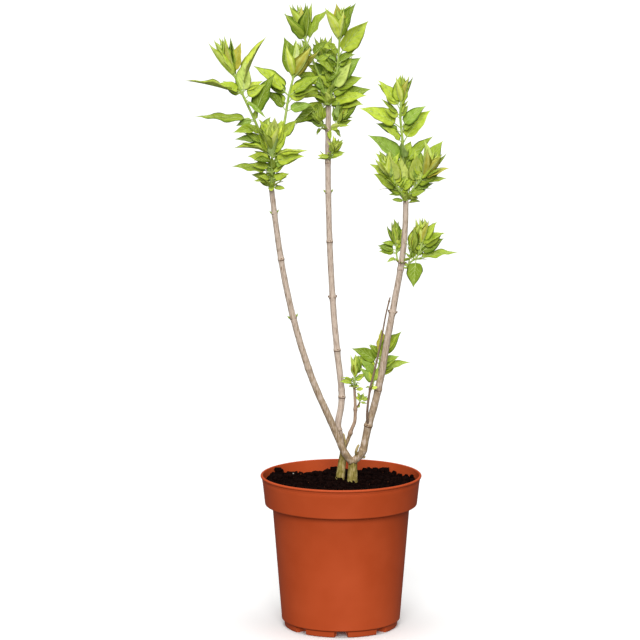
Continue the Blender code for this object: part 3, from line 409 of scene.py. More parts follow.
def feed(skin, node, sockets):
    """Gives each socket of a node its value or its link. _ and a number name a socket by its place."""
    for name, value in sockets.items():
        socket = node.inputs[int(name[1:]) if name[1:].isdigit() else name.replace("_", " ")]
        if isinstance(value, bpy.types.NodeSocket):
            skin.node_tree.links.new(value, socket)
        else:
            socket.default_value = value


def add(skin, kind, settings=None, output=0, stops=(), **sockets):
    """Adds a shader node with its settings, stops of colour and sockets, and returns one of its outputs."""
    node = skin.node_tree.nodes.new("ShaderNode" + kind)
    for name, value in (settings or {}).items():
        setattr(node, name, value)
    if stops:
        elements = node.color_ramp.elements
        while len(elements) < len(stops):
            elements.new(1.0)
        for element, (place, code) in zip(elements, stops):
            element.position = place
            element.color = linear(code)
    feed(skin, node, sockets)
    return node.outputs[output]


def finished(skin, **sockets):
    """The material with values and links on its own shader's sockets."""
    feed(skin, skin.node_tree.nodes["Principled BSDF"], sockets)
    return skin


def new_material(name, **fixed):
    """A Principled material whose fixed values sit on the shader's own sockets."""
    skin = bpy.data.materials.new(name)
    skin.use_nodes = True
    return finished(skin, **fixed)


COLOUR_MIX = {"data_type": "RGBA"}
PLUS = {"operation": "ADD"}
MINUS = {"operation": "SUBTRACT"}
TIMES = {"operation": "MULTIPLY"}
TIMES_PLUS = {"operation": "MULTIPLY_ADD"}
SHARE_OF_ONE = {"operation": "MULTIPLY_ADD", "use_clamp": True}
BELOW = {"operation": "LESS_THAN"}


def leaf_material(name, code, gloss):
    """Lilac leaf: a thin waxy skin over soft green, with faint lighter and darker patches."""
    skin = new_material(name, Roughness=gloss, IOR=1.42, Specular_IOR_Level=0.06)
    place = add(skin, "TexCoord", output="Object")
    patches = add(skin, "TexNoise", Vector=place, Scale=per(6.5), Detail=1.5)
    light = add(skin, "HueSaturation", Hue=0.492, Saturation=0.88, Value=1.44, Color=linear(code))
    dark = add(skin, "HueSaturation", Hue=0.508, Saturation=1.15, Value=0.66, Color=linear(code))
    colour = add(skin, "Mix", COLOUR_MIX, 2, _0=patches, _6=dark, _7=light)
    pores = add(skin, "TexNoise", Vector=place, Scale=per(0.9), Detail=2.0)
    bump = add(skin, "Bump", Strength=0.25, Distance=0.12 * MM, Height=pores)
    return finished(skin, Base_Color=colour, Normal=bump)


def green_shoot_material(name, dark, middle, light):
    """Soft green shoots, leaf stalks and ribs: matt and pale, a little ribbed along."""
    skin = new_material(name, Roughness=0.5, IOR=1.42, Specular_IOR_Level=0.3)
    place = add(skin, "TexCoord", output="Object")
    stretched = add(skin, "Mapping", Vector=place, Scale=(1.0, 1.0, 0.15))
    streaks = add(skin, "TexNoise", Vector=stretched, Scale=per(1.6), Detail=2.0)
    colour = add(skin, "ValToRGB", stops=((0.3, dark), (0.55, middle), (0.75, light)), Fac=streaks)
    bump = add(skin, "Bump", Strength=0.3, Distance=0.1 * MM, Height=streaks)
    return finished(skin, Base_Color=colour, Normal=bump)


def bark_material(name, young, old, low, foot, rise):
    """Lilac bark: dry and pale, fissured along the stem and blotched, with another colour near the soil."""
    skin = new_material(name, Roughness=0.78, IOR=1.45, Specular_IOR_Level=0.25)
    place = add(skin, "TexCoord", output="Object")
    along = add(skin, "Mapping", Vector=place, Scale=(1.0, 1.0, 0.12))
    fissures = add(skin, "TexNoise", Vector=along, Scale=per(1.1), Detail=4.0)
    blotches = add(skin, "TexNoise", Vector=place, Scale=per(7.0), Detail=3.0)
    both = add(skin, "Math", PLUS, _0=fissures, _1=blotches)
    half = add(skin, "Math", TIMES, _0=both, _1=0.5)
    upper = add(skin, "ValToRGB", stops=((0.32, old), (0.5, young), (0.7, young)), Fac=fissures)
    lower = add(skin, "ValToRGB", stops=((0.4, old), (0.49, low), (0.6, young)), Fac=half)
    height = add(skin, "SeparateXYZ", output="Z", Vector=place)
    # The height of the change sways with the blotches
    sway = add(skin, "Math", TIMES_PLUS, _0=blotches, _1=rise * MM, _2=(foot - rise * 0.5) * MM)
    level = add(skin, "Math", MINUS, _0=height, _1=sway)
    share = add(skin, "Math", SHARE_OF_ONE, _0=level, _1=1.0 / (rise * MM), _2=0.5)
    bark = add(skin, "Mix", COLOUR_MIX, 2, _0=share, _6=lower, _7=upper)
    # Small dark pores
    cells = add(skin, "TexVoronoi", output="Distance", Vector=along, Scale=per(2.4))
    pores = add(skin, "Math", BELOW, _0=cells, _1=0.16)
    faint = add(skin, "Math", TIMES, _0=pores, _1=0.45)
    colour = add(skin, "Mix", COLOUR_MIX, 2, _0=faint, _6=bark, _7=linear(old))
    bump = add(skin, "Bump", Strength=0.5, Distance=0.35 * MM, Height=fissures)
    return finished(skin, Base_Color=colour, Normal=bump)


def soil_material():
    """Moist peat: nearly black brown crumbs that hardly shine."""
    skin = new_material("moist_peat", Roughness=0.95, IOR=1.4, Specular_IOR_Level=0.05)
    place = add(skin, "TexCoord", output="Object")
    crumbs = add(skin, "TexNoise", Vector=place, Scale=per(2.2), Detail=5.0, Roughness=0.7)
    colour = add(skin, "ValToRGB", stops=((0.38, "040101"), (0.55, "0E0403"), (0.74, "241009")), Fac=crumbs)
    bump = add(skin, "Bump", Strength=0.9, Distance=0.8 * MM, Height=crumbs)
    return finished(skin, Base_Color=colour, Normal=bump)


def crumb_material(name, dark, light):
    """Dull grainy stuff in two colours: the soil's crumbs, and the scars, buds and cork of the joints."""
    skin = new_material(name, Roughness=0.92, IOR=1.4, Specular_IOR_Level=0.06)
    place = add(skin, "TexCoord", output="Object")
    grain = add(skin, "TexNoise", Vector=place, Scale=per(1.5), Detail=3.0)
    return finished(skin, Base_Color=add(skin, "ValToRGB", stops=((0.35, dark), (0.7, light)), Fac=grain))


def pot_material():
    """Injection-moulded polypropylene in terracotta red: an even satin skin with a very fine texture."""
    skin = new_material("moulded_polypropylene", Roughness=0.52, IOR=1.49, Specular_IOR_Level=0.12)
    place = add(skin, "TexCoord", output="Object")
    cloud = add(skin, "TexNoise", Vector=place, Scale=per(45.0), Detail=2.0)
    colour = add(skin, "ValToRGB", stops=((0.3, "B44820"), (0.7, "BE5028")), Fac=cloud)
    grain = add(skin, "TexNoise", Vector=place, Scale=per(0.6), Detail=2.0)
    bump = add(skin, "Bump", Strength=0.12, Distance=0.05 * MM, Height=grain)
    return finished(skin, Base_Color=colour, Normal=bump)


def set_out(name, data):
    """A new object in the scene."""
    thing = bpy.data.objects.new(name, data)
    bpy.context.scene.collection.objects.link(thing)
    return thing


class Sheaf:
    """Many small closed forms gathered into one mesh, each with its slot of colour."""

    def __init__(self):
        self.corners = []
        self.faces = []
        self.slots = []

    def put(self, corners, faces, slots):
        """Adds one form: its corners, its faces and the slot of each face."""
        first = len(self.corners)
        self.corners.extend(corners)
        self.faces.extend([tuple(first + i for i in face) for face in faces])
        self.slots.extend(slots)

    def put_rings(self, first, rings, last, slot=0, downward=False):
        """Adds a closed form: rings of corners between two ends, that run upward or downward."""
        sides = len(rings[0])
        top = 1 + (len(rings) - 1) * sides
        corners = [first, *(corner for ring in rings for corner in ring), last]
        faces = []
        for k in range(sides):
            n = (k + 1) % sides
            faces.append((0, 1 + n, 1 + k))
            faces.append((len(corners) - 1, top + k, top + n))
            for start in range(1, top, sides):
                faces.append((start + k, start + n, start + sides + n, start + sides + k))
        if downward:
            faces = [(corner, *reversed(others)) for corner, *others in faces]
        self.put(corners, faces, [slot] * len(faces))

    def piece(self, name, materials, record_slot, *nodes):
        """Makes the piece, lets it ride on the plant and stand for its nodes."""
        mesh = bpy.data.meshes.new(name)
        mesh.from_pydata(self.corners, [], self.faces)
        mesh.polygons.foreach_set("material_index", self.slots)
        mesh.shade_smooth()
        for material in materials:
            mesh.materials.append(material)
        mesh.update()
        thing = set_out(name, mesh)
        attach(thing, "root")
        if nodes:
            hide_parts(*nodes)
        return thing


def polar(turn, radius=1.0, height=0.0):
    """The place at a turn in radians from the right, a distance and a height. Alone, a level direction."""
    return Vector((radius * math.cos(turn), radius * math.sin(turn), height))


def toward(first, second, angle):
    """The direction an angle in radians away from the first of two square directions, towards the second."""
    return first * math.cos(angle) + second * math.sin(angle)


def square_to(along, out):
    """The direction nearest to another that is square to the first."""
    return (out - along * along.dot(out)).normalized()


def course_points(knots, spans):
    """Points in metres on a smooth curve through the knots, with some spans between each two."""
    ends = [Vector(k) * MM for k in knots]
    ends = [2 * ends[0] - ends[1], *ends, 2 * ends[-1] - ends[-2]]
    points = []
    for a, b, c, d in zip(ends, ends[1:], ends[2:], ends[3:]):
        before = (b - a).length ** 0.5
        between = (c - b).length ** 0.5
        after = (d - c).length ** 0.5
        for step in range(spans):
            t = between * step / spans
            ab = a.lerp(b, 1 + t / before)
            bc = b.lerp(c, t / between)
            cd = c.lerp(d, (t - between) / after)
            abc = ab.lerp(bc, (before + t) / (before + between))
            bcd = bc.lerp(cd, t / (between + after))
            points.append(abc.lerp(bcd, t / between))
    points.append(ends[-2])
    return points


def evenly(points, step):
    """The course again with its points an even step apart, in metres."""
    lengths = [0.0]
    for a, b in zip(points, points[1:]):
        lengths.append(lengths[-1] + (b - a).length)
    count = max(4, round(lengths[-1] / step))
    made = []
    seat = 0
    for i in range(count + 1):
        want = lengths[-1] * i / count
        while seat < len(points) - 2 and lengths[seat + 1] < want:
            seat += 1
        share = (want - lengths[seat]) / (lengths[seat + 1] - lengths[seat])
        made.append(points[seat].lerp(points[seat + 1], share))
    return made


def limb_line(name, spans, step=None):
    """The points of a limb's course and its radius at each, in metres. A step in mm spaces them evenly."""
    _, foot, tip, flare, knots = LIMBS[name]
    points = course_points(knots, spans)
    if step:
        points = evenly(points, step * MM)
    radii = []
    for i in range(len(points)):
        share = i / (len(points) - 1)
        radii.append((foot + (tip - foot) * share + flare * max(0.0, 1.0 - share / FLARE_SHARE) ** 2) * MM)
    return points, radii


def at_height(points, height):
    """The point on a course at a height in metres, and the course's direction there."""
    for a, b in zip(points, points[1:]):
        if height <= b.z:
            break
    share = (height - a.z) / (b.z - a.z)
    return a.lerp(b, min(max(share, 0.0), 1.0)), (b - a).normalized()


def radius_at(points, radii, height):
    """The radius at the point of a course that is nearest to a height in metres."""
    return min(zip(points, radii), key=lambda pair: abs(pair[0].z - height))[1]


def swept(sheaf, points, radii, corners, slot=0, relief=None):
    """Adds a closed tube along the points. relief adds to the radius at (index, way out, point)."""
    side = None
    rings = []
    for i, point in enumerate(points):
        ahead = points[min(i + 1, len(points) - 1)] - points[max(i - 1, 0)]
        ahead.normalize()
        if side is None:
            side = RIGHT if abs(ahead.x) < 0.9 else UP
        side = square_to(ahead, side)
        other = ahead.cross(side)
        ring = []
        for k in range(corners):
            out = toward(side, other, math.tau * k / corners)
            radius = radii[i] + (relief(i, out, point) if relief else 0.0)
            ring.append(point + out * radius)
        rings.append(ring)
    sheaf.put_rings(points[0].copy(), rings, points[-1].copy(), slot)


# Marks on the bark, in mm: height, compass turn, and what shows there.
# "pair" is a joint with a leaf scar and a bud on both sides, "green" one whose buds are out, "scar" one scar
# under its bud, "ring" a raised ring, "bump" a smooth swelling, "knob" a thick knot, and "thorn" a dry stub.
JOINTS = {
    "stem_left": ((494, 200, "green"), (440, 280, "scar"), (371, 185, "green"), (310, 250, "bump")),
    "stem_middle": ((586, 280, "scar"), (548, 200, "ring"), (513, 190, "green"), (455, 280, "scar"),
                    (389, 175, "pair"), (326, 282, "scar"), (278, 120, "bump"), (270, 290, "scar"),
                    (231, 300, "ring")),
    "stem_right": ((434, 190, "thorn"), (426, 200, "ring"), (375, 180, "pair"), (283, 250, "ring"),
                   (240, 250, "scar"), (210, 290, "bump")),
    "stem_small": ((229, 280, "knob"), (258, 300, "knob")),
    "twig_thin": ((248, 280, "ring"), (286, 200, "knob"), (330, 200, "ring"), (388, 190, "pair")),
}
# How far a joint swells its limb, as a share of the radius, and how far along it, mm
SWELL = {"green": 0.16, "scar": 0.28, "pair": 0.24, "ring": 0.2, "bump": 0.2, "knob": 0.55, "thorn": 0.2}
JOINT_REACH = 2.6
SWELL_AT_SCAR = 0.75
# The groove under a swelling, as a share of the radius
GROOVE = 0.07
# What a limb keeps of its radius at its last point but one and at its last
TIP_ROUNDING = (0.86, 0.55)
# The unevenness of the bark as a share of the radius, on trunks and on the younger limbs
TRUNK_ROUGHNESS = 0.04
STEM_ROUGHNESS = 0.03
# The radius of a stem whose marks have the sizes below, mm
COMMON_STEM = 3.6
SCAR, SLEEPING_BUD, GREEN_BUD, CORK = range(4)
# Half the steps round the arc of a scar or a cork ring, and the corners of its section
CRESCENT_STEPS = 8
CRESCENT_CORNERS = 6
# The brown side twig that carries the small buds: its course, its foot's radius and what it loses a point, mm
BUD_TWIG = ((16.6, 5.4, 256.5), (18.4, 5.6, 260.0), (20.6, 5.9, 263.2), (22.0, 6.2, 266.4))
BUD_TWIG_FOOT = 1.25
BUD_TWIG_TAPER = 0.012


def bark_relief(name, radii):
    """Swelling at the joints, fissures along the stem, and a gentle unevenness all over."""
    flare = LIMBS[name][3]
    rough = TRUNK_ROUGHNESS if flare else STEM_ROUGHNESS

    def relief(i, out, point):
        radius = radii[i]
        lumps = noise.noise(point * per(9.0) + out * 0.8) * rough * 2.0
        spot = point + out * radius
        fine = noise.noise(Vector((spot.x * per(0.9), spot.y * per(0.9), spot.z * per(5.0))))
        amount = lumps + fine * rough
        for height, turn, kind in JOINTS.get(name, ()):
            gap = (point.z - height * MM) / (JOINT_REACH * MM)
            if abs(gap) < 3:
                a = math.radians(turn)
                sides = 0.55 + 0.45 * abs(out.x * math.cos(a) + out.y * math.sin(a))
                amount += SWELL[kind] * math.exp(-gap * gap) * sides
                amount -= GROOVE * math.exp(-(gap * 3 + 1.2) ** 2)
        return radius * amount

    return relief


def make_bark(name, material):
    """One trunk, stem, twig or stub in its bark, from its foot to its rounded tip."""
    points, radii = limb_line(name, SHOOT_SPANS, BARK_STEP)
    radii[-2] *= TIP_ROUNDING[0]
    radii[-1] *= TIP_ROUNDING[1]
    sheaf = Sheaf()
    swept(sheaf, points, radii, BARK_CORNERS, 0, bark_relief(name, radii))
    sheaf.piece(name + "_bark", [material], "bark", name)


def crescent(marks, centre, along, out, radius, half, fat, sag, slot):
    """A raised arc round a limb, thickest and lowest at the middle, as a leaf scar is."""
    other = along.cross(out)
    path = []
    radii = []
    for i in range(-CRESCENT_STEPS, CRESCENT_STEPS + 1):
        share = i / CRESCENT_STEPS
        way = toward(out, other, math.radians(half) * share)
        path.append(centre + way * radius - along * sag * MM * (1 - share * share))
        radii.append(fat * MM * (0.35 + 0.65 * math.sqrt(1 - share * share)))
    swept(marks, path, radii, CRESCENT_CORNERS, slot)


def spur(marks, root, way, steps, radii, slot, corners=8):
    """A short form that stands out from its root: steps along its way, and the radius at each, in metres."""
    swept(marks, [root + way * step for step in steps], radii, corners, slot)


def make_joints(materials):
    """Leaf scars, corky rings, sleeping buds and dry spurs at the stems' joints."""
    marks = Sheaf()
    for name, joints in JOINTS.items():
        points, radii = limb_line(name, SHOOT_SPANS, BARK_STEP)
        for height, turn, kind in joints:
            if kind == "bump":
                continue
            centre, along = at_height(points, height * MM)
            bare = radius_at(points, radii, height * MM)
            radius = bare * (1 + SWELL[kind] * SWELL_AT_SCAR)
            stout = bare / MM / COMMON_STEM
            turns, half = ((turn, turn + 180), 75) if kind in ("pair", "green", "thorn") else ((turn,), 110)
            for heading in turns:
                out = square_to(along, polar(math.radians(heading)))
                foot = centre + out * radius
                crescent(marks, centre + along * 0.8 * MM * stout, along, out, radius - 0.55 * MM * stout,
                         half, 0.7 * stout, 0.2, CORK)
                fat = (0.3 if kind == "ring" else 0.5) * stout
                crescent(marks, centre - along * 0.3 * MM, along, out, radius - 0.24 * MM * stout,
                         half - 15, fat, 0.5 * stout, SCAR)
                if kind == "scar":
                    spur(marks, foot - out * 0.9 * MM, along * MM, (0.1, 0.8, 1.6, 2.3),
                         [MM * f * stout for f in (0.8, 1.3, 1.1, 0.3)], SLEEPING_BUD)
                if kind in ("pair", "green"):
                    length, slot = (4.6, GREEN_BUD) if kind == "green" else (3.0, SLEEPING_BUD)
                    fat = 1.15 * MM * min(stout, 1.0)
                    spur(marks, foot - out * 0.6 * MM, (out * 0.75 + along).normalized() * (length * MM),
                         (0, 0.25, 0.5, 0.75, 1.0), [fat * f for f in (0.8, 1.0, 0.9, 0.6, 0.12)], slot)
                if kind == "thorn":
                    spur(marks, foot - out * 0.6 * MM, (out + along * 0.4).normalized() * MM,
                         (0, 1.0, 2.0, 3.2), [MM * f for f in (0.9, 0.7, 0.5, 0.2)], SLEEPING_BUD, 7)
    twig = course_points(BUD_TWIG, SHOOT_SPANS)
    radii = [BUD_TWIG_FOOT * MM - BUD_TWIG_TAPER * MM * i for i in range(len(twig))]
    swept(marks, twig, radii, 10, SLEEPING_BUD)
    marks.piece("joint_marks", materials, "bark")


def blade_line(point, along, face, blade, roll, arch, stalk, stations):
    """Places along the stalk and the blade: share of the blade, centre, way across, way up."""
    across = along.cross(face)
    reach = stalk + 1.0
    marks = [stalk * i / STALK_STATIONS for i in range(STALK_STATIONS)]
    marks += [stalk + i / stations for i in range(stations + 1)]
    place = point.copy()
    last = 0.0
    line = []
    for mark in marks:
        middle = (mark + last) / 2 / reach
        bend = math.radians(arch) * (middle - ARCH_START) * ARCH_GAIN
        way = toward(along, -face, bend)
        lifted = toward(face, along, bend)
        place = place + way * (mark - last) * blade
        line.append((mark - stalk, place.copy(), toward(across, lifted, roll), toward(lifted, -across, roll)))
        last = mark
    return line


def outline(share, full, drawn):
    """Half the width at a share of a blade's length: round at the base, more or less drawn out at the tip."""
    if share <= 0.0 or share >= 1.0:
        return 0.0
    return math.sin(math.pi * share ** full) ** (0.6 + drawn * share)


# A blade's thickness at its tip and what its base has more, mm, the waves of its edge, and the half width in
# mm from which its veins are at their deepest
THIN = 0.16
THICKER = 0.05
WAVES = 2.3
DEEP_VEINS = 3.0


def blade_form(line, width, habit):
    """A thin closed blade: its corners, its upper and lower faces with their column, and its side veins."""
    stations = [s for s in line if s[0] > -1e-9]
    columns = HALF_COLUMNS
    length = (stations[-1][1] - stations[0][1]).length
    upper, lower = [], []
    for share, centre, side, up in stations[1:-1]:
        half = width / 2 * outline(share, habit["full"], habit["drawn"])
        wave = habit["wave"] * half * math.sin(math.tau * (share * WAVES + habit["phase"]))
        thick = (THIN + THICKER * (1 - share)) * MM
        row, under = [], []
        for c in range(-columns, columns + 1):
            a = abs(c) / columns
            lean = habit["fold"] + habit["cup"] * a
            reach = half * a
            out = reach * math.cos(lean)
            rise = reach * math.sin(lean)
            ridge = math.cos(math.tau * habit["veins"] * (share - habit["slope"] * a * half / length * 2))
            swelling = min(1.0, a * 2) * (1 - 0.6 * a) * min(1.0, half / (DEEP_VEINS * MM))
            rise += habit["depth"] * ridge * swelling + wave * a * a
            spot = centre + side * math.copysign(out, c) + up * rise
            row.append(spot)
            if abs(c) < columns:
                under.append(spot - up * thick * (1.2 - a))
        upper.append(row)
        lower.append(under)
    side_veins = []
    end = len(upper) - 1
    gap = 3 if len(upper) > SMALL_STATIONS else 2
    for start in range(1, int(len(upper) * 0.72), gap):
        for way in (-1, 1):
            side_veins.append([upper[min(start + round(c * gap * habit["run"]), end)][columns + way * c]
                               for c in range(columns)])
    wide, narrow = 2 * columns + 1, 2 * columns - 1
    corners = [p for row in upper for p in row] + [p for row in lower for p in row]
    below = len(upper) * wide
    base, tip = len(corners), len(corners) + 1
    corners += [stations[0][1].copy(), stations[-1][1].copy()]

    def top(i, c):
        return i * wide + c

    def bottom(i, c):
        return top(i, c) if c in (0, wide - 1) else below + i * narrow + c - 1

    tops, unders = [], []
    for c in range(wide - 1):
        column = min(c, wide - 2 - c)
        for i in range(end):
            tops.append((column, (top(i, c), top(i + 1, c), top(i + 1, c + 1), top(i, c + 1))))
            unders.append((column, (bottom(i, c), bottom(i, c + 1), bottom(i + 1, c + 1), bottom(i + 1, c))))
        tops.append((column, (base, top(0, c), top(0, c + 1))))
        unders.append((column, (base, bottom(0, c + 1), bottom(0, c))))
        tops.append((column, (tip, top(end, c + 1), top(end, c))))
        unders.append((column, (tip, bottom(end, c), bottom(end, c + 1))))
    return corners, tops, unders, side_veins


def pair_leaves(points, row, chance, free=0.0):
    """The two opposite leaves of a row of pairs: place and shape of each.

    free is how far, in degrees, an added leaf may turn and lift from its row.
    """
    height, turn = row[:2]
    point, _ = at_height(points, height * MM)
    for i, (lift, length, lean) in enumerate(zip(row[2:4], row[4:6], row[6:8])):
        arch = chance.uniform(*ARCH)
        roll = math.radians(lean + chance.uniform(-ROLL_SWAY, ROLL_SWAY))
        heading = math.radians(turn + 180 * i + chance.uniform(-TURN_SWAY, TURN_SWAY))
        if not length:
            continue
        heading += math.radians(chance.uniform(-free, free) * FREE_HEADING)
        rise = math.radians(lift + arch * ARCH_LIFT + chance.uniform(-free, free))
        roll += math.radians(chance.uniform(-free, free) * FREE_ROLL)
        out = polar(heading)
        along = toward(out, UP, rise)
        face = toward(UP, -out, rise)
        toward_front = 1 if along.cross(face).y > 0 else -1
        blade = length * MM
        width = blade * (HANGING_WIDTH if lift < HANGING else BLADE_WIDTH)
        yield point, along, face, blade, width, roll * toward_front, arch, STALK


def tuft_leaves(points, tuft, width, chance):
    """Pairs of young leaves that turn by a right angle from one to the next, and close over the tip."""
    pairs, blade, spread, turn = tuft
    tip = points[-1]
    axis = (points[-1] - points[-1 - SHOOT_SPANS]).normalized()
    first = square_to(axis, RIGHT)
    second = axis.cross(first)
    for pair in range(pairs):
        share = pair / (pairs - 1)
        point = tip - axis * TUFT_DEPTH * blade * MM * (1 - share)
        for i in range(2):
            sway = chance.uniform(-TUFT_TURN_SWAY, TUFT_TURN_SWAY)
            heading = math.radians(turn + 90 * pair + 180 * i + sway)
            sway = chance.uniform(-TUFT_LEAN_SWAY, TUFT_LEAN_SWAY)
            lean = math.radians(spread * (1 - TUFT_CLOSING * share) + sway)
            length = blade * MM * (1 - TUFT_SHORTENING * share) * chance.uniform(*TUFT_LENGTHS)
            roll = math.radians(chance.uniform(-TUFT_ROLL_SWAY, TUFT_ROLL_SWAY))
            arch = -chance.uniform(*TUFT_BEND) * spread
            out = toward(first, second, heading)
            length *= TUFT_FULLNESS
            along = toward(axis, out, lean)
            face = toward(-out, axis, lean)
            yield point, along, face, length, length * width, roll, arch, TUFT_STALK


def foot_leaves(limb, height, spread, number, blades, rises):
    """Small leaves standing all round a limb where its shoots begin."""
    dice = random.Random(number + height)
    points, radii = limb_line(limb, SHOOT_SPANS)
    for i in range(number):
        place = height + spread * i / number
        centre, _ = at_height(points, min(place * MM, points[-1].z))
        heading = math.radians(SPIRAL * i + dice.uniform(-FOOT_TURN_SWAY, FOOT_TURN_SWAY))
        rise = math.radians(dice.uniform(*rises))
        out = polar(heading)
        along = toward(out, UP, rise)
        face = toward(UP, -out, rise)
        blade = dice.uniform(*blades) * MM
        point = centre + out * radii[-1] * FOOT_DEPTH
        roll = math.radians(dice.uniform(-FOOT_ROLL_SWAY, FOOT_ROLL_SWAY))
        yield point, along, face, blade, blade * FOOT_WIDTH, roll, dice.uniform(*FOOT_ARCH), FOOT_STALK


def shoot_foot(limb, kind, *place):
    """Where a shoot stands on its limb, in mm, and the way out of the limb there."""
    points, radii = limb_line(limb, LIMB_SPANS)
    if kind == "tip":
        turn, ring = place
        out = (points[-1] - points[-2]).normalized()
        return points[-1] / MM + square_to(out, polar(math.radians(turn))) * ring, out
    height, turn = place
    centre, along = at_height(points, height * MM)
    out = square_to(along, polar(math.radians(turn)))
    return centre / MM + out * radius_at(points, radii, height * MM) / MM, out


def shoot_course(seat, knots, main):
    """Points of a shoot, in metres. Its foot sits a little inside its limb, or inside the main shoot."""
    if seat[0] == "branch":
        start = [at_height(main, seat[1] * MM)[0] / MM]
    else:
        foot, out = shoot_foot(*seat)
        start = [foot - out * SUNK, foot + out * SEAT_RUN]
    return course_points([*start, *knots], SHOOT_SPANS)


def shoot_radii(thick, count):
    """The radius at each point of a shoot: it swells out of its foot and thins towards its tip."""
    foot, low, tip = thick
    radii = []
    for i in range(count):
        share = i / (count - 1)
        swelling = min(1.0, share / SWELLING_SHARE)
        radii.append((foot + (low - foot) * swelling + (tip - low) * share) * MM)
    return radii


# How a leaf of each kind lies: the spans of its fold and its cup in radians, of its waves and of its fullness
# at the base, then how far its tip is drawn out, how its side veins run and slope, and their depth as a share
# of its length
HABITS = {
    "leaf": (((0.12, 0.45), (-0.4, 0.25), (0.03, 0.14), (0.56, 0.68)), 0.8, 0.6, 1.2, 0.009),
    "bud": (((0.25, 0.55), (0.35, 0.8), (0.0, 0.08), (0.6, 0.72)), 1.1, 1.1, 2.0, 0.012),
    "scale": (((0.1, 0.4), (-0.2, 0.3), (0.0, 0.08), (0.8, 1.0)), 0.1, 0.6, 1.2, 0.009),
}


# Radii of a midrib and a side vein: a part in mm and a share of the blade's length, and how a vein thins
RIB = (0.34, 0.009)
VEIN = (0.15, 0.0045)
VEIN_THINNING = (1.0, 0.85, 0.65, 0.4)
# How deep the midrib sits in the blade, as a share of its radius
RIB_SEAT = 0.45
# Shares of the bud leaves whose underside is striped with painted shade, and of the others with painted shade
# along their edge
STRIPED = 0.6
SHADED_EDGE_SHARE = 0.4


def leaf_habit(kind, blade, dice):
    """How a blade folds along its midrib, cups, waves and puckers between its veins."""
    spans, drawn, run, slope, depth = HABITS[kind]
    fold, cup, wave, full = [dice.uniform(*span) for span in spans]
    return {
        "fold": fold, "cup": cup, "wave": wave, "phase": dice.random(), "full": full, "drawn": drawn,
        "run": run, "slope": slope, "veins": 5 if blade < SHORT_BLADE * MM else 6, "depth": depth * blade,
    }


def put_leaf(sheaves, place, kind, tone, dice):
    """Adds one leaf: a blade in its tones, its stalk and midrib, and its side veins."""
    leaves, ribs, veins = sheaves
    point, along, face, blade, width, roll, arch, stalk = place
    stations = SMALL_STATIONS if blade < SHORT_BLADE * MM else BLADE_STATIONS
    line = blade_line(point, along, face, blade, roll, arch, stalk, stations)
    corners, tops, unders, side_veins = blade_form(line, width, leaf_habit(kind, blade, dice))
    # Tones by column from the edge inwards: the darker green is painted shade at the edge and in bands
    # between the pleats
    if kind == "bud":
        striped = dice.random() < STRIPED
        top_tones = (PAINTED_SHADE, UPPER, PAINTED_SHADE, UPPER)
        under_tones = (PAINTED_SHADE, UNDER, UPPER, UNDER) if striped else (UPPER, UNDER, UNDER, UPPER)
    else:
        edge = PAINTED_SHADE if dice.random() < SHADED_EDGE_SHARE else UPPER
        top_tones, under_tones = (edge, UPPER, UPPER, UPPER), (UNDER, UNDER, UNDER, UNDER)
    green = TONES.index(tone) * 3
    slots = [green + top_tones[column] for column, _ in tops]
    slots += [green + under_tones[column] for column, _ in unders]
    leaves.put(corners, [face for _, face in tops + unders], slots)
    stout = (RIB[0] + RIB[1] * blade / MM) * MM
    radii = [stout * (1.0 if share < 0 else max(0.12, (1 - share) ** 0.8 * 0.8)) for share, *_ in line]
    swept(ribs, [p - up * r * RIB_SEAT for (_, p, _, up), r in zip(line, radii)], radii, RIB_CORNERS)
    thick = (VEIN[0] + VEIN[1] * blade / MM) * MM
    for path in side_veins:
        swept(veins, path, [thick * share for share in VEIN_THINNING], VEIN_CORNERS)


def grow(mass, sheaves, twigs):
    """One mass of foliage: its shoots, their pairs of leaves, their buds and the leaves at its foot."""
    main = None
    for seed, thick, seat, tuft, knots, pairs in SHOOTS[mass]:
        points = shoot_course(seat, knots, main)
        swept(twigs, points, shoot_radii(thick, len(points)), SHOOT_CORNERS)
        chance = random.Random(seed)
        dice = random.Random(seed + 100)
        for number, row in enumerate(pairs):
            greens = HIGH_GREENS if number > len(pairs) * 0.5 else LOW_GREENS
            for place in pair_leaves(points, row, chance):
                put_leaf(sheaves, place, "leaf", dice.choice(greens), dice)
        for place in tuft_leaves(points, tuft, TUFT_WIDTHS.get(mass, TUFT_WIDTH), chance):
            put_leaf(sheaves, place, "bud", dice.choice(BUD_GREENS), dice)
        if main is None:
            main = points
            for *row, names in FINER.get(mass, ()):
                greens = [green for green, blade in zip(names.split(), row[4:6]) if blade]
                for place, green in zip(pair_leaves(points, row, dice, FREE_TURN), greens):
                    put_leaf(sheaves, place, "leaf", green, dice)
    if mass in FEET:
        for place in foot_leaves(*FEET[mass]):
            put_leaf(sheaves, place, "scale", dice.choice(HIGH_GREENS), dice)


# The masses of foliage that make up each piece of leaves
CROWNS = {
    "left": ("foliage_left_outer", "foliage_left_inner", "foliage_left_centre"),
    "middle": ("foliage_middle_left", "foliage_middle_right", "foliage_middle_centre",
               "foliage_middle_side_left", "foliage_middle_side_right", "foliage_middle_low"),
    "right": ("foliage_right_centre", "foliage_right_left", "foliage_right_right",
              "foliage_right_mid_left", "foliage_right_mid_right"),
    "lower": ("foliage_lower", "foliage_small", "foliage_small_buds"),
}


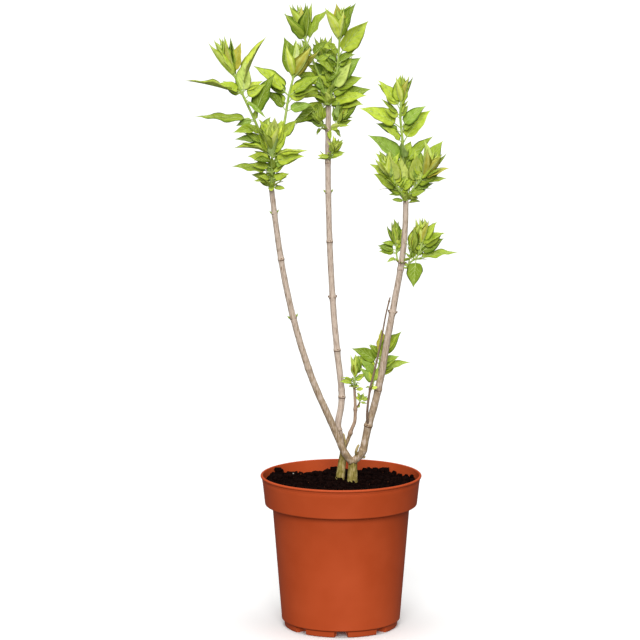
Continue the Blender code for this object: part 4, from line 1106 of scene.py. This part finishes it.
def make_foliage():
    """The leaves of each crown, and all the green shoots, leaf stalks and side veins."""
    tones = []
    for name, codes in GREENS.items():
        # Each green's third material is painted shade for the edges and bands of the leaves
        for code, ending, gloss in zip(codes, ("", "_underside", "_painted_shade"), (0.42, 0.55, 0.42)):
            tones.append(leaf_material("leaf_" + name + ending, code, gloss))
    shoot_green = green_shoot_material("green_shoot", "8DA83C", "A9C05A", "C0CF86")
    rib_green = green_shoot_material("leaf_rib", "A4BC58", "BCCF78", "D2DFA0")
    twigs, ribs, veins = Sheaf(), Sheaf(), Sheaf()
    for crown, masses in CROWNS.items():
        leaves = Sheaf()
        for mass in masses:
            grow(mass, (leaves, ribs, veins), twigs)
        leaves.piece("leaves_" + crown, tones, "leaves", *masses)
    twigs.piece("green_shoots", [shoot_green], "leaves")
    ribs.piece("leaf_stalks", [rib_green], "leaves")
    veins.piece("leaf_veins", [rib_green], "leaves")


# Sizes of the pot, mm
RIM_RADIUS = 95.0
RIM_TOP = 181.3
BEAD = 3.0
BEAD_STEP = 1.5
BAND_START = 10.2
BAND_BOTTOM = 146.0
BAND_TOP_RADIUS = 92.4
BAND_FOOT_RADIUS = 89.8
BODY_TOP_RADIUS = 81.0
BODY_FOOT_RADIUS = 70.2
BODY_FOOT = 10.0
FOOT_TOP = 8.0
FOOT_LEDGE = 0.8
FOOT_RADIUS = 67.4
FOOT_TAPER = 0.4
FOOT_ROUNDING = 1.6
WALL = 1.5
MOUTH_ROUNDING = 1.0
BAND_ROUNDING = 1.4
STEP_ROUNDING = 1.8
OVERRUN = 5.0
CHANNELS = 8
CHANNEL_HEIGHT = 8.0
CHANNEL_FOOT_WIDTH = 23.0
CHANNEL_TOP_WIDTH = 13.0
CHANNEL_INNER_END = 30.0
CHANNEL_MOUTH_WIDTH = 20.5
CHANNEL_ROUNDING = 1.2
RECESS_WIDTH = 28.0
RECESS_HEIGHT = 6.6
RECESS_INNER_END = 62.5
POT_STEPS = 192
ARC_STEPS = 6
# Edges of the pot sharper than this stay crisp, degrees
CRISP_EDGE = 38


def arc(centre_r, centre_z, radius, start, end):
    """Points on an arc of a profile, from one angle to another in degrees: 0 points outwards, 90 up."""
    points = []
    for i in range(ARC_STEPS + 1):
        angle = math.radians(start + (end - start) * i / ARC_STEPS)
        points.append((centre_r + radius * math.cos(angle), centre_z + radius * math.sin(angle)))
    return points


def pot_profile():
    """The outside of the pot from the rim's bead down to the centre of its underside."""
    middle = RIM_TOP - BEAD / 2
    return (
        (0.0, RIM_TOP),
        *arc(RIM_RADIUS - BEAD / 2, middle, BEAD / 2, 90, -70),
        (RIM_RADIUS - BEAD_STEP - 0.3, RIM_TOP - BEAD - 0.5),
        *arc(BAND_TOP_RADIUS + 1.5, RIM_TOP - BAND_START * 0.55, 0.8, 150, 200),
        (BAND_TOP_RADIUS, RIM_TOP - BAND_START),
        *arc(BAND_FOOT_RADIUS - BAND_ROUNDING, BAND_BOTTOM + BAND_ROUNDING, BAND_ROUNDING, 0, -90),
        *arc(BODY_TOP_RADIUS + STEP_ROUNDING, BAND_BOTTOM - STEP_ROUNDING, STEP_ROUNDING, 90, 180),
        (BODY_FOOT_RADIUS, BODY_FOOT),
        *arc(BODY_FOOT_RADIUS - FOOT_LEDGE, BODY_FOOT - FOOT_LEDGE, FOOT_LEDGE, 0, -90),
        (FOOT_RADIUS, FOOT_TOP - 1.5),
        *arc(FOOT_RADIUS - FOOT_TAPER - FOOT_ROUNDING, FOOT_ROUNDING, FOOT_ROUNDING, 0, -90),
        (0.0, 0.0),
    )


def cavity_profile():
    """The inside of the pot, which opens over the rim with a rounded inner edge."""
    mouth = RIM_RADIUS - WALL - BEAD_STEP
    floor_radius = FOOT_RADIUS - FOOT_TAPER - WALL
    return (
        (0.0, RIM_TOP + OVERRUN),
        (mouth + 1.2, RIM_TOP + OVERRUN),
        *arc(mouth + MOUTH_ROUNDING, RIM_TOP - MOUTH_ROUNDING, MOUTH_ROUNDING, 90, 180),
        (BAND_TOP_RADIUS - WALL, RIM_TOP - BAND_START),
        (BAND_FOOT_RADIUS - WALL, BAND_BOTTOM + 3.4),
        (BODY_TOP_RADIUS - WALL, BAND_BOTTOM + 1.4),
        (BODY_FOOT_RADIUS - WALL, BODY_FOOT),
        (floor_radius, WALL * 2),
        (floor_radius - WALL, WALL),
        (0.0, WALL),
    )


def solid_from(name, corners, faces):
    """An object with its faces turned outwards, still without a material."""
    mesh = bpy.data.meshes.new(name)
    mesh.from_pydata(corners, [], faces)
    form = bmesh.new()
    form.from_mesh(mesh)
    bmesh.ops.remove_doubles(form, verts=form.verts, dist=0.00001)
    bmesh.ops.recalc_face_normals(form, faces=form.faces)
    form.to_mesh(mesh)
    form.free()
    return set_out(name, mesh)


def turned(name, profile):
    """A closed profile of (radius, height) in mm, from axis to axis, turned about the Z axis."""
    corners = []
    faces = []
    count = len(profile)
    for k in range(POT_STEPS):
        n = (k + 1) % POT_STEPS
        corners += [polar(math.tau * k / POT_STEPS, r, z) * MM for r, z in profile]
        for i in range(count - 1):
            faces.append((k * count + i, k * count + i + 1, n * count + i + 1, n * count + i))
    return solid_from(name, corners, faces)


def channel(number, foot_width, top_width, height, inner, grown=0.0):
    """A radial channel under the pot: sides that slope inwards, and rounded upper corners."""
    half_foot, half_top = foot_width / 2 + grown, top_width / 2 + grown
    section = [(-half_foot, -OVERRUN), (half_foot, -OVERRUN)]
    for i in range(ARC_STEPS):
        turn = math.radians(90 * i / (ARC_STEPS - 1))
        section.append((half_top - CHANNEL_ROUNDING + CHANNEL_ROUNDING * math.cos(turn),
                        height + grown - CHANNEL_ROUNDING + CHANNEL_ROUNDING * math.sin(turn)))
    section += [(-x, z) for x, z in reversed(section[2:])]
    turn = math.tau * number / CHANNELS - math.pi / 2
    corners = []
    for radius, share in ((inner - grown, 0.5), (BODY_FOOT_RADIUS + OVERRUN * 2, 1.0)):
        for aside, z in section:
            x = radius * math.cos(turn) - aside * share * math.sin(turn)
            y = radius * math.sin(turn) + aside * share * math.cos(turn)
            corners.append(Vector((x, y, z)) * MM)
    count = len(section)
    faces = [tuple(range(count)), tuple(reversed(range(count, 2 * count)))]
    for i in range(count):
        n = (i + 1) % count
        faces.append((n, i, count + i, count + n))
    return solid_from(f"channel_{number}", corners, faces)


def cut(thing, cutter):
    """Takes the cutter's space out of the thing, and the cutter out of the scene."""
    modifier = thing.modifiers.new("cut", "BOOLEAN")
    modifier.operation = "DIFFERENCE"
    modifier.solver = "EXACT"
    modifier.object = cutter
    bpy.context.view_layer.update()
    made = bpy.data.meshes.new_from_object(thing.evaluated_get(bpy.context.evaluated_depsgraph_get()))
    thing.modifiers.clear()
    thing.data = made
    bpy.data.objects.remove(cutter, do_unlink=True)


def make_pot(material):
    """The moulded pot: a thin wall with a rolled bead, a straight band, and eight channels under it."""
    cavity = turned("cavity", cavity_profile())
    channel_sizes = (CHANNEL_TOP_WIDTH, CHANNEL_HEIGHT, CHANNEL_INNER_END)
    for number in range(CHANNELS):
        cut(cavity, channel(number, CHANNEL_FOOT_WIDTH, *channel_sizes, WALL))
    pot = turned("moulded_pot", pot_profile())
    for number in range(CHANNELS):
        cut(pot, channel(number, RECESS_WIDTH, RECESS_WIDTH - 2.0, RECESS_HEIGHT, RECESS_INNER_END))
        cut(pot, channel(number, CHANNEL_MOUTH_WIDTH, CHANNEL_TOP_WIDTH - 0.5, *channel_sizes[1:]))
    cut(pot, cavity)
    pot.data.materials.clear()
    pot.data.materials.append(material)
    pot.data.shade_smooth()
    pot.data.set_sharp_from_angle(angle=math.radians(CRISP_EDGE))
    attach(pot, "root")
    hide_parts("pot")


# Sizes of the soil, mm
SOIL_LEVEL = 167.0
SOIL_RADIUS = 88.6
SOIL_FOOT = 10.0
SOIL_RINGS = 110
SOIL_STEPS = 300
# How far the filling stays off the pot's wall, and its sides below the crust: radius and height
PLAY = 0.6
SOIL_SIDES = (
    (BAND_FOOT_RADIUS - WALL - PLAY, BAND_BOTTOM + 4.0),
    (BODY_TOP_RADIUS - WALL - PLAY, BAND_BOTTOM + 2.0),
    (BODY_FOOT_RADIUS - WALL - PLAY, 12.0),
    (BODY_FOOT_RADIUS - 6.0, SOIL_FOOT),
)
# Unevenness of the soil: how wide and how high its swells, clods, lumps and grains are
SWELLS = (26.0, 2.6)
CLODS = (7.5, 3.8)
LUMPS = (3.4, 2.2)
GRAINS = (1.4, 0.7)
# Round the trunks the soil rises and lies smoother: the rise, or the share of its clods lost, and the reach
TRUNK_RISE = (4.2, 11.0)
TRUNK_SMOOTHING = (0.6, 13.0)
# How wide the falling edge is, and how deep it falls
EDGE = (5.0, 2.0)
# Raised places of the soil: place across and back, reach, and rise
SOIL_HILLS = (
    (-86, 0, 26, 8.0), (-74, 28, 15, 7.0), (-62, 50, 12, 3.0), (-84, -30, 20, 5.0), (-11, 44, 13, 8.0),
    (14, 40, 24, 5.0), (38, 52, 15, 6.5), (54, 50, 9, 4.0), (66, 43, 10, 4.0), (78, 30, 6, 6.5),
    (86, 8, 15, 6.0), (84, -30, 20, 4.0), (20, -60, 30, 1.5),
)
TRUNK_FEET = [LIMBS[name][-1][0][:2] for name in ("trunk_front", "trunk_back")]
CREASED_EDGE = 60
CRUMB_COUNT = 1300
CRUMB_SIDES = 7
PEAT, BARK_BIT, PALE_SPECK = range(3)
# How many of a hundred or so crumbs are of each kind, the size of the smallest and what the largest have
# more, the sizes of bits and specks, and how far crumbs are drawn out and uneven
CRUMB_SHARES = (96, 4, 1)
CRUMB_SIZES = (0.8, 3.0)
BIT_SIZES = (0.5, 1.2)
CRUMB_LENGTHS = (0.7, 1.5)
CRUMB_PUSH = (0.72, 1.18)


def soil_height(x, y):
    """The top of the soil in mm: raised at its hills and round the trunks, and lower at the edge."""
    spot = Vector((x, y, 0.0))
    radius = math.hypot(x, y)
    height = SOIL_LEVEL + SWELLS[1] * noise.noise(spot / SWELLS[0] + Vector((3.1, 0.4, 0.0)))
    for hill_x, hill_y, reach, rise in SOIL_HILLS:
        gap = ((x - hill_x) ** 2 + (y - hill_y) ** 2) / reach ** 2
        height += rise * math.exp(-gap)
    trunks = min(math.hypot(x - trunk_x, y - trunk_y) for trunk_x, trunk_y in TRUNK_FEET)
    lumps = CLODS[1] * abs(noise.noise(spot / CLODS[0]))
    lumps += LUMPS[1] * abs(noise.noise(spot / LUMPS[0] + Vector((0, 0, 7.0))))
    height += lumps * (1.0 - TRUNK_SMOOTHING[0] * math.exp(-(trunks / TRUNK_SMOOTHING[1]) ** 2))
    height += GRAINS[1] * noise.noise(spot / GRAINS[0])
    height += TRUNK_RISE[0] * math.exp(-(trunks / TRUNK_RISE[1]) ** 2)
    edge = max(0.0, (radius - SOIL_RADIUS + EDGE[0]) / EDGE[0])
    return height - EDGE[1] * edge ** 2


def on_soil(turn, radius, lift=0.0):
    """The place on the soil, or a lift above it, at a turn in radians and a distance in mm."""
    x, y = radius * math.cos(turn), radius * math.sin(turn)
    return Vector((x, y, soil_height(x, y) + lift))


def put_crumb(sheaf, centre, size, slot, chance):
    """A small uneven clod: three rings whose corners are pushed in and out, between two ends."""
    spin = chance.uniform(0, math.tau)
    long = chance.uniform(*CRUMB_LENGTHS)
    rings = []
    for level in (-45, 0, 45):
        tilt = math.radians(level)
        ring = []
        for k in range(CRUMB_SIDES):
            turn = spin + math.tau * k / CRUMB_SIDES
            push = size * chance.uniform(*CRUMB_PUSH)
            flat = math.cos(tilt)
            out = Vector((math.cos(turn) * flat * long, math.sin(turn) * flat, math.sin(tilt)))
            ring.append((centre + out * push) * MM)
        rings.append(ring)
    foot = (centre + Vector((0, 0, -size * 0.7))) * MM
    head = (centre + Vector((0, 0, size * chance.uniform(0.6, 0.95)))) * MM
    sheaf.put_rings(foot, rings, head, slot)


def make_soil(material, crumbs):
    """The peat: a crumbly crust over the pot's filling, with loose crumbs, bits of bark and specks on it."""
    rings = []
    for ring in range(1, SOIL_RINGS + 1):
        radius = SOIL_RADIUS * ring / SOIL_RINGS
        shift = 0.5 * (ring % 2)
        rings.append([on_soil(math.tau * (k + shift) / SOIL_STEPS, radius) * MM for k in range(SOIL_STEPS)])
    for radius, z in SOIL_SIDES:
        rings.append([polar(math.tau * k / SOIL_STEPS, radius, z) * MM for k in range(SOIL_STEPS)])
    soil = Sheaf()
    soil.put_rings(on_soil(0.0, 0.0) * MM, rings, Vector((0, 0, SOIL_FOOT)) * MM, downward=True)
    thing = soil.piece("peat", [material], "soil", "soil")
    thing.data.set_sharp_from_angle(angle=math.radians(CREASED_EDGE))
    loose = Sheaf()
    chance = random.Random(5)
    for _ in range(CRUMB_COUNT):
        radius = (SOIL_RADIUS - 4.0) * math.sqrt(chance.random())
        turn = chance.uniform(0, math.tau)
        kind = chance.choices((PEAT, BARK_BIT, PALE_SPECK), CRUMB_SHARES)[0]
        if kind == PEAT:
            size = CRUMB_SIZES[0] + CRUMB_SIZES[1] * chance.random() ** 2.5
        else:
            size = chance.uniform(*BIT_SIZES)
        put_crumb(loose, on_soil(turn, radius, size * 0.2), size, kind, chance)
    loose.piece("soil_crumbs", crumbs, "soil")


def stage_floor():
    """A wide pale floor that fills the view behind and below the pot."""
    mesh = bpy.data.meshes.new("floor")
    reach = 60.0
    mesh.from_pydata([(-reach, -reach, 0), (reach, -reach, 0), (reach, reach, 0), (-reach, reach, 0)], [],
                     [(0, 1, 2, 3)])
    thing = set_out("floor", mesh)
    mesh.materials.append(new_material("studio_floor", Base_Color=linear("F7F7F6"), Roughness=0.9,
                                       Specular_IOR_Level=0.1))
    thing.visible_diffuse = False
    thing.visible_glossy = False


def sun(name, strength, spread, azimuth, elevation):
    """A broad soft light from a compass direction: azimuth 0 is the camera's side."""
    lamp = bpy.data.lights.new(name, "SUN")
    lamp.energy = strength
    lamp.angle = math.radians(spread)
    thing = set_out(name, lamp)
    a, e = math.radians(azimuth), math.radians(elevation)
    back = Vector((math.sin(a) * math.cos(e), -math.cos(a) * math.cos(e), math.sin(e)))
    thing.rotation_mode = "QUATERNION"
    thing.rotation_quaternion = back.to_track_quat("Z", "Y")


# The camera as fitted to the pot: focal length, sensor width and place in mm, and its tilt down in degrees
FOCAL_LENGTH = 176.8
SENSOR_WIDTH = 36.0
CAMERA_PLACE = (-24.8, -3638.0, 922.0)
CAMERA_TILT = 8.70
# Strength of the light from all sides
AMBIENT = 0.2


def light_and_camera():
    """A white studio: a little light from all sides, one broad panel above and one in front."""
    scene = bpy.context.scene
    world = bpy.data.worlds.new("studio")
    world.use_nodes = True
    background = world.node_tree.nodes["Background"]
    background.inputs["Color"].default_value = linear("FFFFFF")
    background.inputs["Strength"].default_value = AMBIENT
    scene.world = world
    sun("top_panel", 2.3, 60, 0, 86)
    sun("front_panel", 2.7, 34, -2, 26)
    lens = bpy.data.cameras.new("camera")
    lens.lens = FOCAL_LENGTH
    lens.sensor_width = SENSOR_WIDTH
    lens.clip_end = 200.0
    camera = set_out("camera", lens)
    camera.location = Vector(CAMERA_PLACE) * MM
    camera.rotation_euler = (math.radians(90 - CAMERA_TILT), 0.0, 0.0)
    scene.camera = camera
    scene.view_settings.view_transform = "Standard"


stage_floor()
light_and_camera()

barks = {bark: bark_material(*row) for bark, row in BARKS.items()}
for limb, (bark, *_) in LIMBS.items():
    make_bark(limb, barks[bark])
make_joints([
    crumb_material("leaf_scars", "46301F", "6E4E34"),
    crumb_material("sleeping_buds", "6A4C36", "94745A"),
    crumb_material("green_buds", "7C9A1C", "A4B84C"),
    crumb_material("joint_cork", "A08260", "BE9E7C"),
])
make_foliage()

make_pot(pot_material())
make_soil(soil_material(), [
    crumb_material("peat_crumbs", "060202", "1C0B07"),
    crumb_material("bark_bits", "3A1E12", "6A3A22"),
    crumb_material("pale_specks", "8A8074", "C8C0B4"),
])
